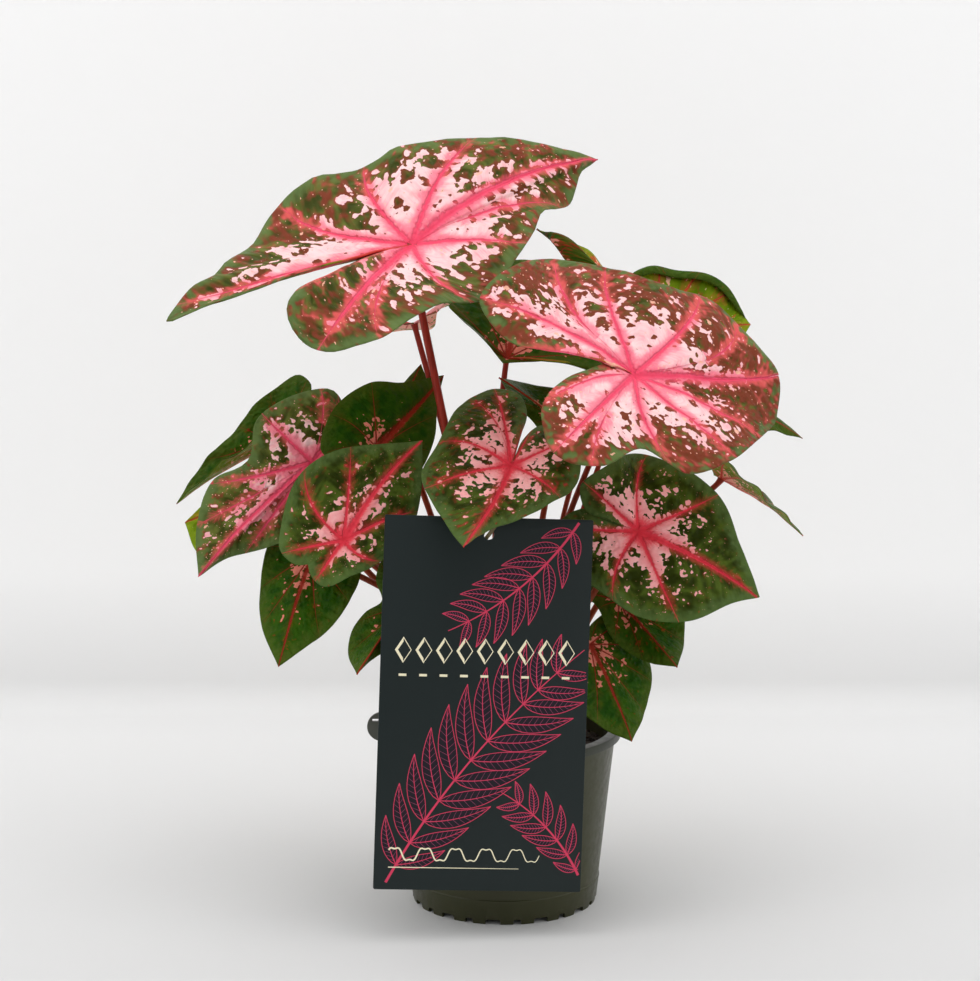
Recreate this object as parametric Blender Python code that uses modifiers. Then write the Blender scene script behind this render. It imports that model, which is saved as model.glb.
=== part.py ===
# A caladium in its nursery pot, with its hang tag, at its real size.
# Sizes are in millimetres and are turned to metres where a mesh is made. The origin is the middle
# of the pot's foot, +Z is up, and the tag is on the -Y side.

import math

import bmesh
import bpy
import numpy as np
from mathutils import Matrix, Vector

MM = 0.001
CLEARANCE = 0.3

# Pot
POT_HEIGHT = 90.0
RIM_RADIUS = 59.0
RIM_INNER_RADIUS = 53.2
RIM_BAND = 4.2
RIM_TOP = 1.2
WALL_TOP_RADIUS = 56.0
WALL_FOOT_RADIUS = 46.7
WALL = 1.4
FLOOR_UNDERSIDE = 4.5
FLOOR_TOP = 6.0
HUB_RADIUS = 10.0
FOOT_BAND_HEIGHT = 12.5
FOOT_BAND_STEP = 0.4
POT_STEPS = 48
NOTCHES = 24
NOTCH_HEIGHT = 2.7
NOTCH_WIDTHS = (4.0, 7.5)
DRAIN_HOLES = 6
DRAIN_HOLE_RADIUS = 4.5
DRAIN_CIRCLE = 30.0
EAR_RADIUS = 7.5
EAR_THICKNESS = 2.0
EAR_REACH = 70.0
EAR_HEIGHT = 89.5
SLOT_SIZE = (3.2, 1.4)
SLOT_PLACE = (-65.7, 93.0)

# Tuber and potting mix
TUBER_RADIUS = 29.5
TUBER_BOTTOM = 32.0
TUBER_TOP = 56.0
TUBER_STEPS = 32
HOLLOW_GAP = 0.42
SOIL_EDGE = 79.0
SOIL_CROWN = 82.0
SOIL_LUMP = 0.7

# Hang tag
TAG_WIDTH = 102.0
TAG_HEIGHT = 183.0
TAG_THICKNESS = 1.0
TAG_CORNER = 2.0
TAG_CENTRE = (-10.8, -58.2, 116.6)
TAG_LEAN = -7.8
TAG_ROLL = 2.8
TAG_YAW = 6.2
TAG_HOLE_RADIUS = 2.5
TAG_HOLE_DROP = 8.4
TIE_RADIUS = 15.0
TIE_WIRE = 0.6
TIE_CHORD = 18.0
TIE_TURN = 60.0

# Leaves
BLADE = 0.8
WAVES = 7
STALK_RADIUS = 1.6
STALK_SIDES = 2
STALK_CLEAR_OF_SOIL = 87.0
STALK_BEND = 45.0
STALK_POINTS = 8

# Each leaf: where its stalk joins the blade, and from there the reach to the tip, to points down
# the left margin and in along the left lobe, the same on the right, and the reach to the sinus
# between the lobes. Left is as seen from above with the tip ahead. foot is the stalk's place on
# the tuber, as radius and bearing, and sway bends the stalk's middle sideways. arch is the rise of
# the blade between joint and margin as a share of the reach, and wave the height of its waved edge.
LEAVES = {
    "crown_left": dict(
        joint=(-46, 5, 335), tip=(95, 92, 34), sinus=(-27, -10, -7),
        left=((64, 79, 44), (29, 64, 48), (4, 52, 47), (-13, 43, 41), (-20, 40, 35), (-30, 37, 31),
              (-39, 34, 30), (-49, 29, 30), (-58, 24, 26), (-70, 13, 15), (-79, -1, 1),
              (-84, -7, -3), (-91, -15, -7), (-96, -24, -14), (-106, -35, -18), (-113, -43, -25),
              (-116, -54, -31), (-108, -52, -28), (-94, -47, -23), (-70, -38, -17),
              (-51, -28, -11)),
        right=((91, 90, 31), (86, 83, 28), (83, 72, 21), (80, 63, 15), (74, 56, 13), (66, 47, 12),
               (61, 33, 3), (48, -2, -12), (43, -15, -18), (31, -33, -24), (17, -48, -25),
               (3, -63, -28), (-11, -79, -34), (-25, -90, -37), (-37, -97, -38), (-47, -99, -35),
               (-54, -97, -28), (-56, -93, -21), (-52, -75, -14), (-45, -57, -12)),
        foot=(7.5, 190), sway=(0, -6), arch=0.04, wave=2.0, stalk=2.0, fine=True),
    "crown_right": dict(
        joint=(62, -45, 277), tip=(72, 40, -31), sinus=(-16, -3, 5),
        left=((75, 53, -9), (63, 55, 9), (41, 65, 29), (14, 57, 36), (-10, 54, 46),
              (-34, 46, 52), (-61, 23, 48), (-74, -2, 36), (-58, -15, 18), (-27, -3, 11)),
        right=((62, 15, -34), (46, -13, -40), (25, -36, -40), (4, -37, -30), (-18, -57, -34),
               (-39, -62, -27), (-46, -48, -13), (-33, -19, 2)),
        foot=(7.5, 320), sway=(1, 18), arch=0.05, wave=2.0, stalk=1.5, fine=True),
    "back_centre": dict(
        joint=(1, 45, 272), tip=(18, 55, 45), sinus=(-2, -3, -2),
        left=((-1, 50, 44), (-23, 35, 36), (-30, 17, 24), (-15, 15, 11)),
        right=((34, 38, 30), (50, 10, 6), (47, -5, -4), (22, -1, -1)),
        foot=(16, 95), sway=(-4, 4), arch=0.04, wave=1.5),
    "back_high": dict(
        joint=(71, 78, 282), tip=(-55, -23, 55), sinus=(4, 2, -4),
        left=((-47, -36, 49), (-34, -36, 32), (-20, -20, 8), (-6, -8, -12), (0, -2, -8)),
        right=((-35, -12, 46), (-13, 6, 28), (9, 20, 13), (22, 24, -1), (16, 14, -6)),
        foot=(25, 50), sway=(-4, 0), stalk=1.3, arch=0.04, wave=1.5),
    "back_right": dict(
        joint=(77, 48, 284), tip=(50, 14, 3), sinus=(-5, -1, 2),
        left=((45, 16, 9), (36, 15, 22), (12, 11, 30), (-6, 5, 32), (-13, 2, 29), (-9, 0, 14)),
        right=((41, 2, -9), (23, -12, -24), (2, -21, -29), (-7, -17, -23), (-6, -8, -9)),
        foot=(16, 30), stalk=1.3, arch=0.04, wave=1.5),
    "under_crown": dict(
        joint=(-46, 38, 291), tip=(-30, 58, -12), sinus=(0, -5, 1),
        left=((-44, 40, -13), (-57, 0, -8), (-53, -23, -2), (-33, -27, 3), (-16, -13, 0)),
        right=((6, 42, -8), (12, 20, 0), (20, -2, 10), (19, -13, 9)),
        foot=(7.5, 120), sway=(0, 10), arch=0.04, wave=1.5),
    "far_left": dict(
        joint=(-117, 42, 228), tip=(-50, -24, -26), sinus=(5, 1, 3),
        left=((-42, -28, -18), (-24, -24, -4), (-6, -20, 8), (5, -12, 12)),
        right=((-45, -18, -18), (-27, -4, 2), (-10, 8, 19), (12, 18, 33), (17, 14, 29),
               (11, 4, 15)),
        foot=(25, 160), arch=0.04, wave=1.5),
    "left": dict(
        joint=(-96, 0, 226), tip=(-55, -34, -51), sinus=(9, 3, 5),
        left=((-44, -25, -45), (-18, -20, -38), (8, -13, -28), (22, -6, -14), (24, 1, -2),
              (17, 4, 4)),
        right=((-57, -19, -30), (-49, -7, -7), (-32, -1, 2), (-29, 8, 19), (-7, 16, 33),
               (10, 17, 33), (16, 13, 23), (12, 7, 12)),
        foot=(16, 175), arch=0.04, wave=1.5, fine=True),
    "left_behind": dict(
        joint=(-116, 16, 209), tip=(-46, -4, -16), sinus=(4, 0, 1),
        left=((-38, -14, -30), (-17, -14, -29), (3, -10, -21), (10, -6, -12), (7, -2, -3)),
        right=((-37, -3, -7), (-20, 2, 5), (-2, 6, 13), (8, 6, 13), (7, 3, 6)),
        foot=(25, 180), sway=(5, 0), arch=0.04, wave=1.5),
    "left_upright": dict(
        joint=(-64, 2, 233), tip=(33, 37, 31), sinus=(-6, -4, -3),
        left=((14, 23, 30), (-4, 16, 30), (-17, 8, 24), (-26, -3, 11), (-27, -10, 0),
              (-17, -10, -6)),
        right=((30, 23, 20), (28, 10, 0), (18, -3, -16), (4, -14, -26), (-5, -15, -23),
               (-8, -10, -12)),
        foot=(16, 208), arch=0.04, wave=1.5),
    "front_left": dict(
        joint=(-79, -42, 195), tip=(38, 32, 44), sinus=(-17, -9, -10),
        left=((24, 30, 43), (3, 25, 42), (-18, 17, 34), (-30, 0, 9), (-30, -8, -4),
              (-23, -10, -10)),
        right=((38, 22, 25), (32, 7, 2), (18, -3, -10), (4, -9, -16), (-10, -13, -20),
               (-16, -11, -14)),
        foot=(25, 220), sway=(6, 16), bend=30, arch=0.04, wave=1.5, fine=True),
    "low_left": dict(
        joint=(-96, -12, 182), tip=(-15, -40, -48), sinus=(2, 3, 4),
        left=((-1, -33, -39), (16, -25, -25), (24, -11, -8), (24, 3, 9), (16, 12, 18),
              (6, 10, 13)),
        right=((-24, -23, -32), (-26, -12, -20), (-23, 6, 2), (-18, 18, 17), (-10, 19, 20),
               (-2, 10, 11)),
        foot=(25, 200), sway=(20, 5), bend=20, arch=0.04, wave=1.5),
    "beside_tag": dict(
        joint=(-49, -36, 161), tip=(-23, -28, -28), sinus=(4, 2, 5),
        left=((-13, -13, -22), (8, -14, -17), (18, -10, -8), (12, -4, -1)),
        right=((-28, -8, -21), (-26, -1, -11), (-20, 2, -4), (-12, 3, 1), (-15, 6, 13),
               (-11, 9, 21), (-4, 7, 14)),
        foot=(25, 240), arch=0.04, wave=1.0),
    "front": dict(
        joint=(3, -30, 230), tip=(-23, -56, -29), sinus=(2, 7, 4),
        left=((-7, -36, -23), (16, -24, -17), (31, -10, -8), (34, 8, 4), (29, 22, 13),
              (16, 26, 16), (7, 18, 11)),
        right=((-33, -33, -20), (-44, -9, -3), (-35, 13, 11), (-21, 39, 27), (-10, 46, 31),
               (4, 43, 28), (8, 33, 22), (5, 19, 12)),
        foot=(25, 268), sway=(-7, -3), bend=15, arch=0.04, wave=1.5, fine=True),
    "inner": dict(
        joint=(28, 38, 241), tip=(-31, -6, 23), sinus=(3, -2, -2),
        left=((-23, 10, 8), (-11, -2, -4), (0, -16, -18), (12, -18, -19), (10, -8, -8)),
        right=((-20, 18, 17), (-3, 14, 15), (18, 8, 12), (27, -1, 3), (15, -4, -2)),
        foot=(7.5, 40), arch=0.04, wave=1.0),
    "right": dict(
        joint=(66, -15, 194), tip=(61, -3, -33), sinus=(-8, 1, 5),
        left=((52, 2, -9), (43, 11, 13), (25, 16, 28), (3, 17, 36), (-16, -5, 34),
              (-29, -4, 23), (-26, -3, 11), (-15, 0, 6)),
        right=((48, -10, -34), (25, -17, -42), (2, -18, -40), (-20, -15, -27), (-39, -10, -11),
               (-40, -3, 4), (-28, 2, 11), (-14, 3, 8)),
        foot=(16, 340), arch=0.04, wave=1.5, fine=True),
    "low_right": dict(
        joint=(58, 3, 154), tip=(28, -25, -28), sinus=(-6, 2, 5),
        left=((33, -2, -18), (31, 9, 3), (17, 16, 21), (5, 15, 25), (-4, 9, 18)),
        right=((10, -13, -27), (-5, -10, -15), (-14, -3, 1), (-25, -3, 5), (-21, 2, 12)),
        foot=(25, 350), sway=(3, 11), arch=0.04, wave=1.0),
    "over_rim": dict(
        joint=(43, -10, 135), tip=(20, -24, -44), sinus=(-2, 3, 6),
        left=((29, -4, -29), (30, 12, -9), (19, 15, 5), (9, 13, 13), (2, 8, 10)),
        right=((8, -25, -38), (-11, -25, -23), (-22, -15, -1), (-20, -6, 9), (-9, 1, 9)),
        foot=(25, 330), arch=0.04, wave=1.0),
    "far_right": dict(
        joint=(110, 20, 214), tip=(43, 5, -30), sinus=(-4, 0, 2),
        left=((34, 20, -23), (20, 32, -11), (5, 30, 1), (-2, 16, 4)),
        right=((31, -10, -16), (13, -24, 2), (1, -24, 14), (-5, -14, 10)),
        foot=(25, 10), sway=(-4, 20), arch=0.04, wave=1.5),
    "right_behind": dict(
        joint=(108, 40, 254), tip=(46, 12, -25), sinus=(-4, 0, 3),
        left=((31, 18, -13), (12, 26, 1), (-4, 24, 10), (-8, 12, 7)),
        right=((30, 2, -20), (10, -12, -20), (-7, -18, -18), (-9, -10, -9)),
        foot=(25, 30), arch=0.04, wave=1.5),
    "back_left": dict(
        joint=(-56, 40, 238), tip=(13, 17, 29), sinus=(-2, -2, -5),
        left=((4, 15, 20), (-15, 9, 9), (-22, 1, -4), (-12, -2, -8)),
        right=((17, 7, 20), (19, -3, 6), (12, -13, -10), (4, -9, -10)),
        foot=(16, 140), arch=0.04, wave=1.0),
}


def material(name, colour, roughness, metallic=0.0):
    """A Principled BSDF with the part's own colour and finish."""
    made = bpy.data.materials.new(name)
    made.use_nodes = True
    shader = made.node_tree.nodes["Principled BSDF"]
    shader.inputs["Base Color"].default_value = (*colour, 1.0)
    shader.inputs["Roughness"].default_value = roughness
    shader.inputs["Metallic"].default_value = metallic
    return made


def place(name, mesh, collection, finish=None):
    """An object for the mesh, in the collection, with its material."""
    made = bpy.data.objects.new(name, mesh)
    collection.objects.link(made)
    if finish:
        mesh.materials.append(finish)
    return made


def cutter(name, mesh, collection):
    """An object that only cuts others, or is joined into them."""
    made = place(name, mesh, collection)
    made.hide_render = True
    made.display_type = "WIRE"
    return made


def boolean(target, tool, operation):
    step = target.modifiers.new(tool.name, "BOOLEAN")
    step.operation = operation
    step.object = tool
    step.solver = "EXACT"


def mesh_from(name, shape):
    """The finished bmesh as a mesh, in metres."""
    bmesh.ops.scale(shape, vec=(MM, MM, MM), verts=shape.verts)
    mesh = bpy.data.meshes.new(name)
    shape.to_mesh(mesh)
    shape.free()
    return mesh


def turned(name, profile, steps):
    """A profile of (radius, height) points turned about Z, as a closed mesh in metres."""
    shape = bmesh.new()
    ring = [shape.verts.new((radius, 0.0, height)) for radius, height in profile]
    edges = [shape.edges.new(pair) for pair in zip(ring, ring[1:])]
    bmesh.ops.spin(
        shape, geom=ring + edges, cent=(0, 0, 0), axis=(0, 0, 1), dvec=(0, 0, 0),
        angle=2 * math.pi, steps=steps, use_merge=True, use_duplicate=False)
    bmesh.ops.remove_doubles(shape, verts=shape.verts, dist=0.0001)
    bmesh.ops.recalc_face_normals(shape, faces=shape.faces)
    return mesh_from(name, shape)


def wall_radius(height):
    """Outer radius of the tapered pot wall."""
    share = height / (POT_HEIGHT - RIM_BAND)
    return WALL_FOOT_RADIUS + (WALL_TOP_RADIUS - WALL_FOOT_RADIUS) * share


def box(shape, size, matrix):
    bmesh.ops.create_cube(shape, size=1.0, matrix=matrix @ Matrix.Diagonal((*size, 1.0)))


def rod(shape, radius, length, matrix, sides):
    bmesh.ops.create_cone(
        shape, cap_ends=True, segments=sides, radius1=radius, radius2=radius, depth=length,
        matrix=matrix)


def make_pot(collection, cutters):
    """The thin moulded pot: rim band, tapered wall, raised floor, hub, notched foot and ear."""
    under_rim = POT_HEIGHT - RIM_BAND
    inner_top = wall_radius(under_rim) - WALL
    inner_foot = wall_radius(FLOOR_TOP) - WALL
    foot_inner = WALL_FOOT_RADIUS - WALL
    profile = [
        (0, FLOOR_TOP),
        (inner_foot, FLOOR_TOP),
        (inner_top, under_rim),
        (inner_top, POT_HEIGHT - 2 * RIM_TOP),
        (RIM_INNER_RADIUS, POT_HEIGHT - RIM_TOP),
        (RIM_INNER_RADIUS, POT_HEIGHT - 0.4),
        (RIM_INNER_RADIUS + 0.4, POT_HEIGHT),
        (RIM_RADIUS - 0.6, POT_HEIGHT),
        (RIM_RADIUS, POT_HEIGHT - 0.6),
        (RIM_RADIUS, under_rim),
        (WALL_TOP_RADIUS, under_rim),
        (wall_radius(FOOT_BAND_HEIGHT), FOOT_BAND_HEIGHT),
        (wall_radius(FOOT_BAND_HEIGHT) + FOOT_BAND_STEP, FOOT_BAND_HEIGHT - 0.5),
        (WALL_FOOT_RADIUS + FOOT_BAND_STEP, 0),
        (foot_inner, 0),
        (foot_inner, FLOOR_UNDERSIDE),
        (HUB_RADIUS, FLOOR_UNDERSIDE),
        (HUB_RADIUS, 0),
        (0, 0),
    ]
    finish = material("pot_plastic", (0.055, 0.058, 0.042), 0.42)
    pot = place("pot", turned("pot", profile, POT_STEPS), collection, finish)

    ear = bmesh.new()
    upright = Matrix.Translation((EAR_RADIUS - EAR_REACH, 0, EAR_HEIGHT)) @ Matrix.Rotation(
        math.radians(90), 4, "X")
    rod(ear, EAR_RADIUS, EAR_THICKNESS, upright, 24)
    boolean(pot, cutter("ear", mesh_from("ear", ear), cutters), "UNION")

    slot = bmesh.new()
    slot_size = (SLOT_SIZE[0], 3 * EAR_THICKNESS, SLOT_SIZE[1])
    box(slot, slot_size, Matrix.Translation((SLOT_PLACE[0], 0, SLOT_PLACE[1])))
    boolean(pot, cutter("ear_slot", mesh_from("ear_slot", slot), cutters), "DIFFERENCE")

    openings = bmesh.new()
    for index in range(NOTCHES):
        turn = Matrix.Rotation(2 * math.pi * (index + 0.5) / NOTCHES, 4, "Z")
        out = Matrix.Translation((WALL_FOOT_RADIUS - WALL / 2, 0, 0))
        box(openings, (3 * WALL, NOTCH_WIDTHS[index % 2], 2 * NOTCH_HEIGHT), turn @ out)
    for index in range(DRAIN_HOLES):
        turn = Matrix.Rotation(2 * math.pi * (index + 0.5) / DRAIN_HOLES, 4, "Z")
        out = Matrix.Translation((DRAIN_CIRCLE, 0, FLOOR_TOP))
        rod(openings, DRAIN_HOLE_RADIUS, 3 * FLOOR_TOP, turn @ out, 12)
    boolean(pot, cutter("pot_openings", mesh_from("pot_openings", openings), cutters), "DIFFERENCE")
    return pot


def tuber_profile(grow):
    """Outline of the flattened tuber, from its top middle to its underside, grown all round."""
    radius = TUBER_RADIUS + grow
    top = TUBER_TOP + grow
    bottom = TUBER_BOTTOM - grow
    middle = (top + bottom) / 2
    return [
        (0, top), (radius - 3.0, top), (radius, top - 5.0), (radius - 0.5, middle - 1.0),
        (radius - 8.0, bottom + 3.0), (radius - 18.0, bottom), (0, bottom)]


def make_tuber(collection):
    """The corky tuber that every stalk grows from, inside the potting mix."""
    finish = material("tuber", (0.17, 0.10, 0.055), 0.85)
    return place("tuber", turned("tuber", tuber_profile(0.0), TUBER_STEPS), collection, finish)


def make_soil(collection, cutters, feet):
    """Dark peat with a lumpy crown, hollow round the tuber, and a plain hole for each stalk."""
    def inside(height):
        return wall_radius(height) - WALL - CLEARANCE

    floor = FLOOR_TOP + CLEARANCE
    rings = [(inside(SOIL_EDGE) * share, SOIL_CROWN - (SOIL_CROWN - SOIL_EDGE) * share ** 2)
             for share in (0.0, 0.3, 0.6, 0.85, 1.0)]
    profile = rings + [(inside(floor), floor), (0, floor)]
    mesh = turned("potting_mix", profile, POT_STEPS)
    for vertex in mesh.vertices:
        x, y, z = vertex.co / MM
        if z > SOIL_EDGE + 0.1:
            vertex.co.z += MM * SOIL_LUMP * (math.sin(0.31 * x + 1.0) * math.cos(0.27 * y)
                                             + math.sin(0.19 * x - 0.23 * y))
    soil = place("potting_mix", mesh, collection, material("peat", (0.03, 0.02, 0.014), 0.95))

    hollow = turned("tuber_hollow", tuber_profile(HOLLOW_GAP), TUBER_STEPS)
    boolean(soil, cutter("tuber_hollow", hollow, cutters), "DIFFERENCE")

    holes = bmesh.new()
    top = SOIL_CROWN + 6.0
    for x, y, radius in feet:
        middle = Matrix.Translation((x, y, (TUBER_TOP - 2.0 + top) / 2))
        rod(holes, (radius + CLEARANCE) / math.cos(math.pi / 12), top - TUBER_TOP + 2.0, middle, 12)
    boolean(soil, cutter("stalk_holes", mesh_from("stalk_holes", holes), cutters), "DIFFERENCE")
    return soil


def tag_frame():
    """The tag's own frame: X along its width, Z up its height, -Y its printed face."""
    turn = (Matrix.Rotation(math.radians(TAG_YAW), 4, "Z")
            @ Matrix.Rotation(math.radians(TAG_LEAN), 4, "X")
            @ Matrix.Rotation(math.radians(TAG_ROLL), 4, "Y"))
    return Matrix.Translation(TAG_CENTRE) @ turn


def make_tag(collection, cutters):
    """The stiff plastic hang tag, leaning on the pot's rim, with a punched hole at its top."""
    frame = tag_frame()
    plate = bmesh.new()
    box(plate, (TAG_WIDTH, TAG_THICKNESS, TAG_HEIGHT), Matrix.Identity(4))
    corners = [edge for edge in plate.edges
               if abs(edge.verts[0].co.y - edge.verts[1].co.y) > TAG_THICKNESS / 2]
    bmesh.ops.bevel(plate, geom=corners, offset=TAG_CORNER, segments=3, affect="EDGES",
                    profile=0.5, material=-1)
    bmesh.ops.transform(plate, matrix=frame, verts=plate.verts)
    finish = material("tag_plastic", (0.017, 0.028, 0.03), 0.5)
    tag = place("tag", mesh_from("tag", plate), collection, finish)

    hole = bmesh.new()
    through = frame @ Matrix.Translation((0, 0, TAG_HEIGHT / 2 - TAG_HOLE_DROP)) @ Matrix.Rotation(
        math.radians(90), 4, "X")
    rod(hole, TAG_HOLE_RADIUS, 6 * TAG_THICKNESS, through, 24)
    boolean(tag, cutter("tag_hole", mesh_from("tag_hole", hole), cutters), "DIFFERENCE")
    return tag


def make_tie(collection):
    """The thin ring that goes through the tag's hole, over its top edge and round a stalk."""
    frame = tag_frame()
    hole = frame @ Vector((0, 0, TAG_HEIGHT / 2 - TAG_HOLE_DROP))
    behind = (frame.to_3x3() @ Vector((0, 1, 0))).normalized()
    across = (frame.to_3x3() @ Vector(
        (math.cos(math.radians(TIE_TURN)), 0, math.sin(math.radians(TIE_TURN))))).normalized()
    back = math.sqrt(TIE_RADIUS ** 2 - (TIE_CHORD / 2) ** 2)
    centre = hole + across * (TIE_CHORD / 2) + behind * back
    curve = bpy.data.curves.new("tie", "CURVE")
    curve.dimensions = "3D"
    curve.bevel_depth = TIE_WIRE * MM
    curve.bevel_resolution = 1
    spline = curve.splines.new("POLY")
    spline.use_cyclic_u = True
    count = 28
    spline.points.add(count - 1)
    for index in range(count):
        turn = 2 * math.pi * index / count
        point = centre + (behind * math.cos(turn) + across * math.sin(turn)) * TIE_RADIUS
        spline.points[index].co = (*(point * MM), 1.0)
    tie = bpy.data.objects.new("tag_tie", curve)
    collection.objects.link(tie)
    curve.materials.append(material("tie_plastic", (0.10, 0.08, 0.03), 0.5))
    return tie


def unit(vector):
    return vector / np.linalg.norm(vector)


def smooth_curve(points, count):
    """Points evenly spaced along a smooth curve through the given ones, ends included."""
    points = np.asarray(points, float)
    chords = np.linalg.norm(np.diff(points, axis=0), axis=1)
    slopes = np.gradient(points, np.concatenate(([0.0], np.cumsum(chords))), axis=0)
    dense = [points[0]]
    for index, chord in enumerate(chords):
        for share in np.linspace(0, 1, 25)[1:]:
            s2 = share * share
            s3 = s2 * share
            dense.append((2 * s3 - 3 * s2 + 1) * points[index]
                         + (s3 - 2 * s2 + share) * chord * slopes[index]
                         + (3 * s2 - 2 * s3) * points[index + 1]
                         + (s3 - s2) * chord * slopes[index + 1])
    dense = np.array(dense)
    run = np.concatenate(([0.0], np.cumsum(np.linalg.norm(np.diff(dense, axis=0), axis=1))))
    wanted = np.linspace(0, run[-1], count)
    return np.stack([np.interp(wanted, run, dense[:, axis]) for axis in range(3)], axis=1)


def margin_line(leaf, count):
    """The margin's reach from the joint: tip, left side and lobe, sinus, right lobe and side."""
    left = smooth_curve([leaf["tip"], *leaf["left"], leaf["sinus"]], count)
    right = smooth_curve([leaf["tip"], *leaf["right"], leaf["sinus"]], count)
    return np.concatenate((left, right[::-1][1:]))


def leaf_normal(margin):
    """The direction that the blade's upper face looks in, on the average."""
    return unit(np.cross(margin[:-1], margin[1:]).sum(axis=0))


def blade_surface(leaf, around, outward):
    """Places on the upper face. around goes 0 to 1 from the tip round the left lobe, the sinus
    and the right lobe, and outward goes 0 to 1 from the joint to the margin."""
    margin = margin_line(leaf, 200)
    along = np.linspace(0, 1, len(margin))
    reach = np.stack([np.interp(around, along, margin[:, axis]) for axis in range(3)], axis=-1)
    rise = leaf["arch"] * np.linalg.norm(reach, axis=-1) * 4 * outward * (1 - outward)
    fade = np.abs(np.sin(2 * np.pi * around))
    wave = leaf["wave"] * outward ** 3 * fade * np.sin(2 * np.pi * WAVES * around)
    return (np.array(leaf["joint"], float) + reach * outward[..., None]
            + leaf_normal(margin) * (rise + wave)[..., None])


def blade_grid(leaf):
    """How many faces a blade has round its margin, and how many from joint to margin."""
    return (32, 4) if leaf.get("fine") else (24, 3)


def ring_share(share):
    """Spreads the rings of faces so that they are closer together towards the margin."""
    return share ** 0.8


def make_blade(name, leaf, collection, finish):
    """The thin blade: a fan of triangles from the joint to the waved margin, thickened below."""
    columns, rings = blade_grid(leaf)
    shape = bmesh.new()
    bmesh.ops.create_grid(shape, x_segments=columns, y_segments=rings, size=0.5)
    corners = np.array([vertex.co[:] for vertex in shape.verts])
    around = corners[:, 0] + 0.5
    outward = ring_share(corners[:, 1] + 0.5)
    for vertex, spot in zip(shape.verts, blade_surface(leaf, around, outward)):
        vertex.co = spot
    bmesh.ops.remove_doubles(shape, verts=shape.verts, dist=0.001)
    bmesh.ops.recalc_face_normals(shape, faces=shape.faces)
    normal = Vector(leaf_normal(margin_line(leaf, 50)))
    if sum((face.normal * face.calc_area() for face in shape.faces), Vector()).dot(normal) < 0:
        bmesh.ops.reverse_faces(shape, faces=shape.faces)
    bmesh.ops.triangulate(shape, faces=shape.faces)
    blade = place("blade_" + name, mesh_from("blade_" + name, shape), collection, finish)
    wall = blade.modifiers.new("thickness", "SOLIDIFY")
    wall.thickness = BLADE * MM
    wall.offset = -1.0
    wall.use_even_offset = False
    return blade


def foot_place(leaf):
    radius, bearing = leaf["foot"]
    turn = math.radians(bearing)
    return np.array((radius * math.cos(turn), radius * math.sin(turn)))


def stalk_route(leaf):
    """Up out of the tuber and the soil, then in one bend to the underside of the blade."""
    x, y = foot_place(leaf)
    joint = np.array(leaf["joint"], float)
    normal = leaf_normal(margin_line(leaf, 50))
    columns, rings = blade_grid(leaf)
    ring = blade_surface(leaf, np.linspace(0, 1, columns + 1), np.array(ring_share(1 / rings)))
    level = np.linalg.norm(np.cross(ring - joint, normal), axis=1)
    fall = max(0.0, np.max((joint - ring) @ normal / level))
    seat = BLADE + CLEARANCE + fall * leaf.get("stalk", STALK_RADIUS)
    end = joint - normal * seat
    start = np.array((x, y, STALK_CLEAR_OF_SOIL))
    span = np.linalg.norm(end - start)
    first = np.array((0.0, 0.0, 0.9 * span))
    last = normal * min(0.4 * span, leaf.get("bend", STALK_BEND))
    sway = np.array((*leaf.get("sway", (0, 0)), 0.0))
    route = [np.array((x, y, TUBER_TOP + CLEARANCE))]
    for share in np.linspace(0, 1, STALK_POINTS):
        s2 = share * share
        s3 = s2 * share
        route.append((2 * s3 - 3 * s2 + 1) * start + (s3 - 2 * s2 + share) * first
                     + (3 * s2 - 2 * s3) * end + (s3 - s2) * last
                     + sway * math.sin(math.pi * share) ** 2)
    route.insert(-1, end - normal * 2.5)
    return route


def make_stalk(name, leaf, collection, finish):
    """The round stalk that carries the blade."""
    curve = bpy.data.curves.new("stalk_" + name, "CURVE")
    curve.dimensions = "3D"
    curve.bevel_depth = leaf.get("stalk", STALK_RADIUS) * MM
    curve.bevel_resolution = STALK_SIDES
    curve.use_fill_caps = True
    route = stalk_route(leaf)
    spline = curve.splines.new("POLY")
    spline.points.add(len(route) - 1)
    for point, spot in zip(spline.points, route):
        point.co = (*(spot * MM), 1.0)
    curve.materials.append(finish)
    stalk = bpy.data.objects.new("stalk_" + name, curve)
    collection.objects.link(stalk)
    return stalk


def main():
    for old in list(bpy.data.objects):
        bpy.data.objects.remove(old, do_unlink=True)
    plant = bpy.data.collections.new("caladium_in_pot")
    cutters = bpy.data.collections.new("cutters")
    bpy.context.scene.collection.children.link(plant)
    bpy.context.scene.collection.children.link(cutters)

    make_pot(plant, cutters)
    make_tuber(plant)
    feet = [(*foot_place(leaf), leaf.get("stalk", STALK_RADIUS)) for leaf in LEAVES.values()]
    make_soil(plant, cutters, feet)
    make_tag(plant, cutters)
    make_tie(plant)
    green = material("leaf", (0.10, 0.20, 0.05), 0.45)
    maroon = material("stalk", (0.15, 0.03, 0.02), 0.45)
    for name, leaf in LEAVES.items():
        make_blade(name, leaf, plant, green)
        make_stalk(name, leaf, plant, maroon)


main()
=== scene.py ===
# The finished look of a caladium in its nursery pot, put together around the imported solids.

import math

import bmesh
import bpy
import numpy as np
from mathutils import Matrix, Vector, noise


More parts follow.
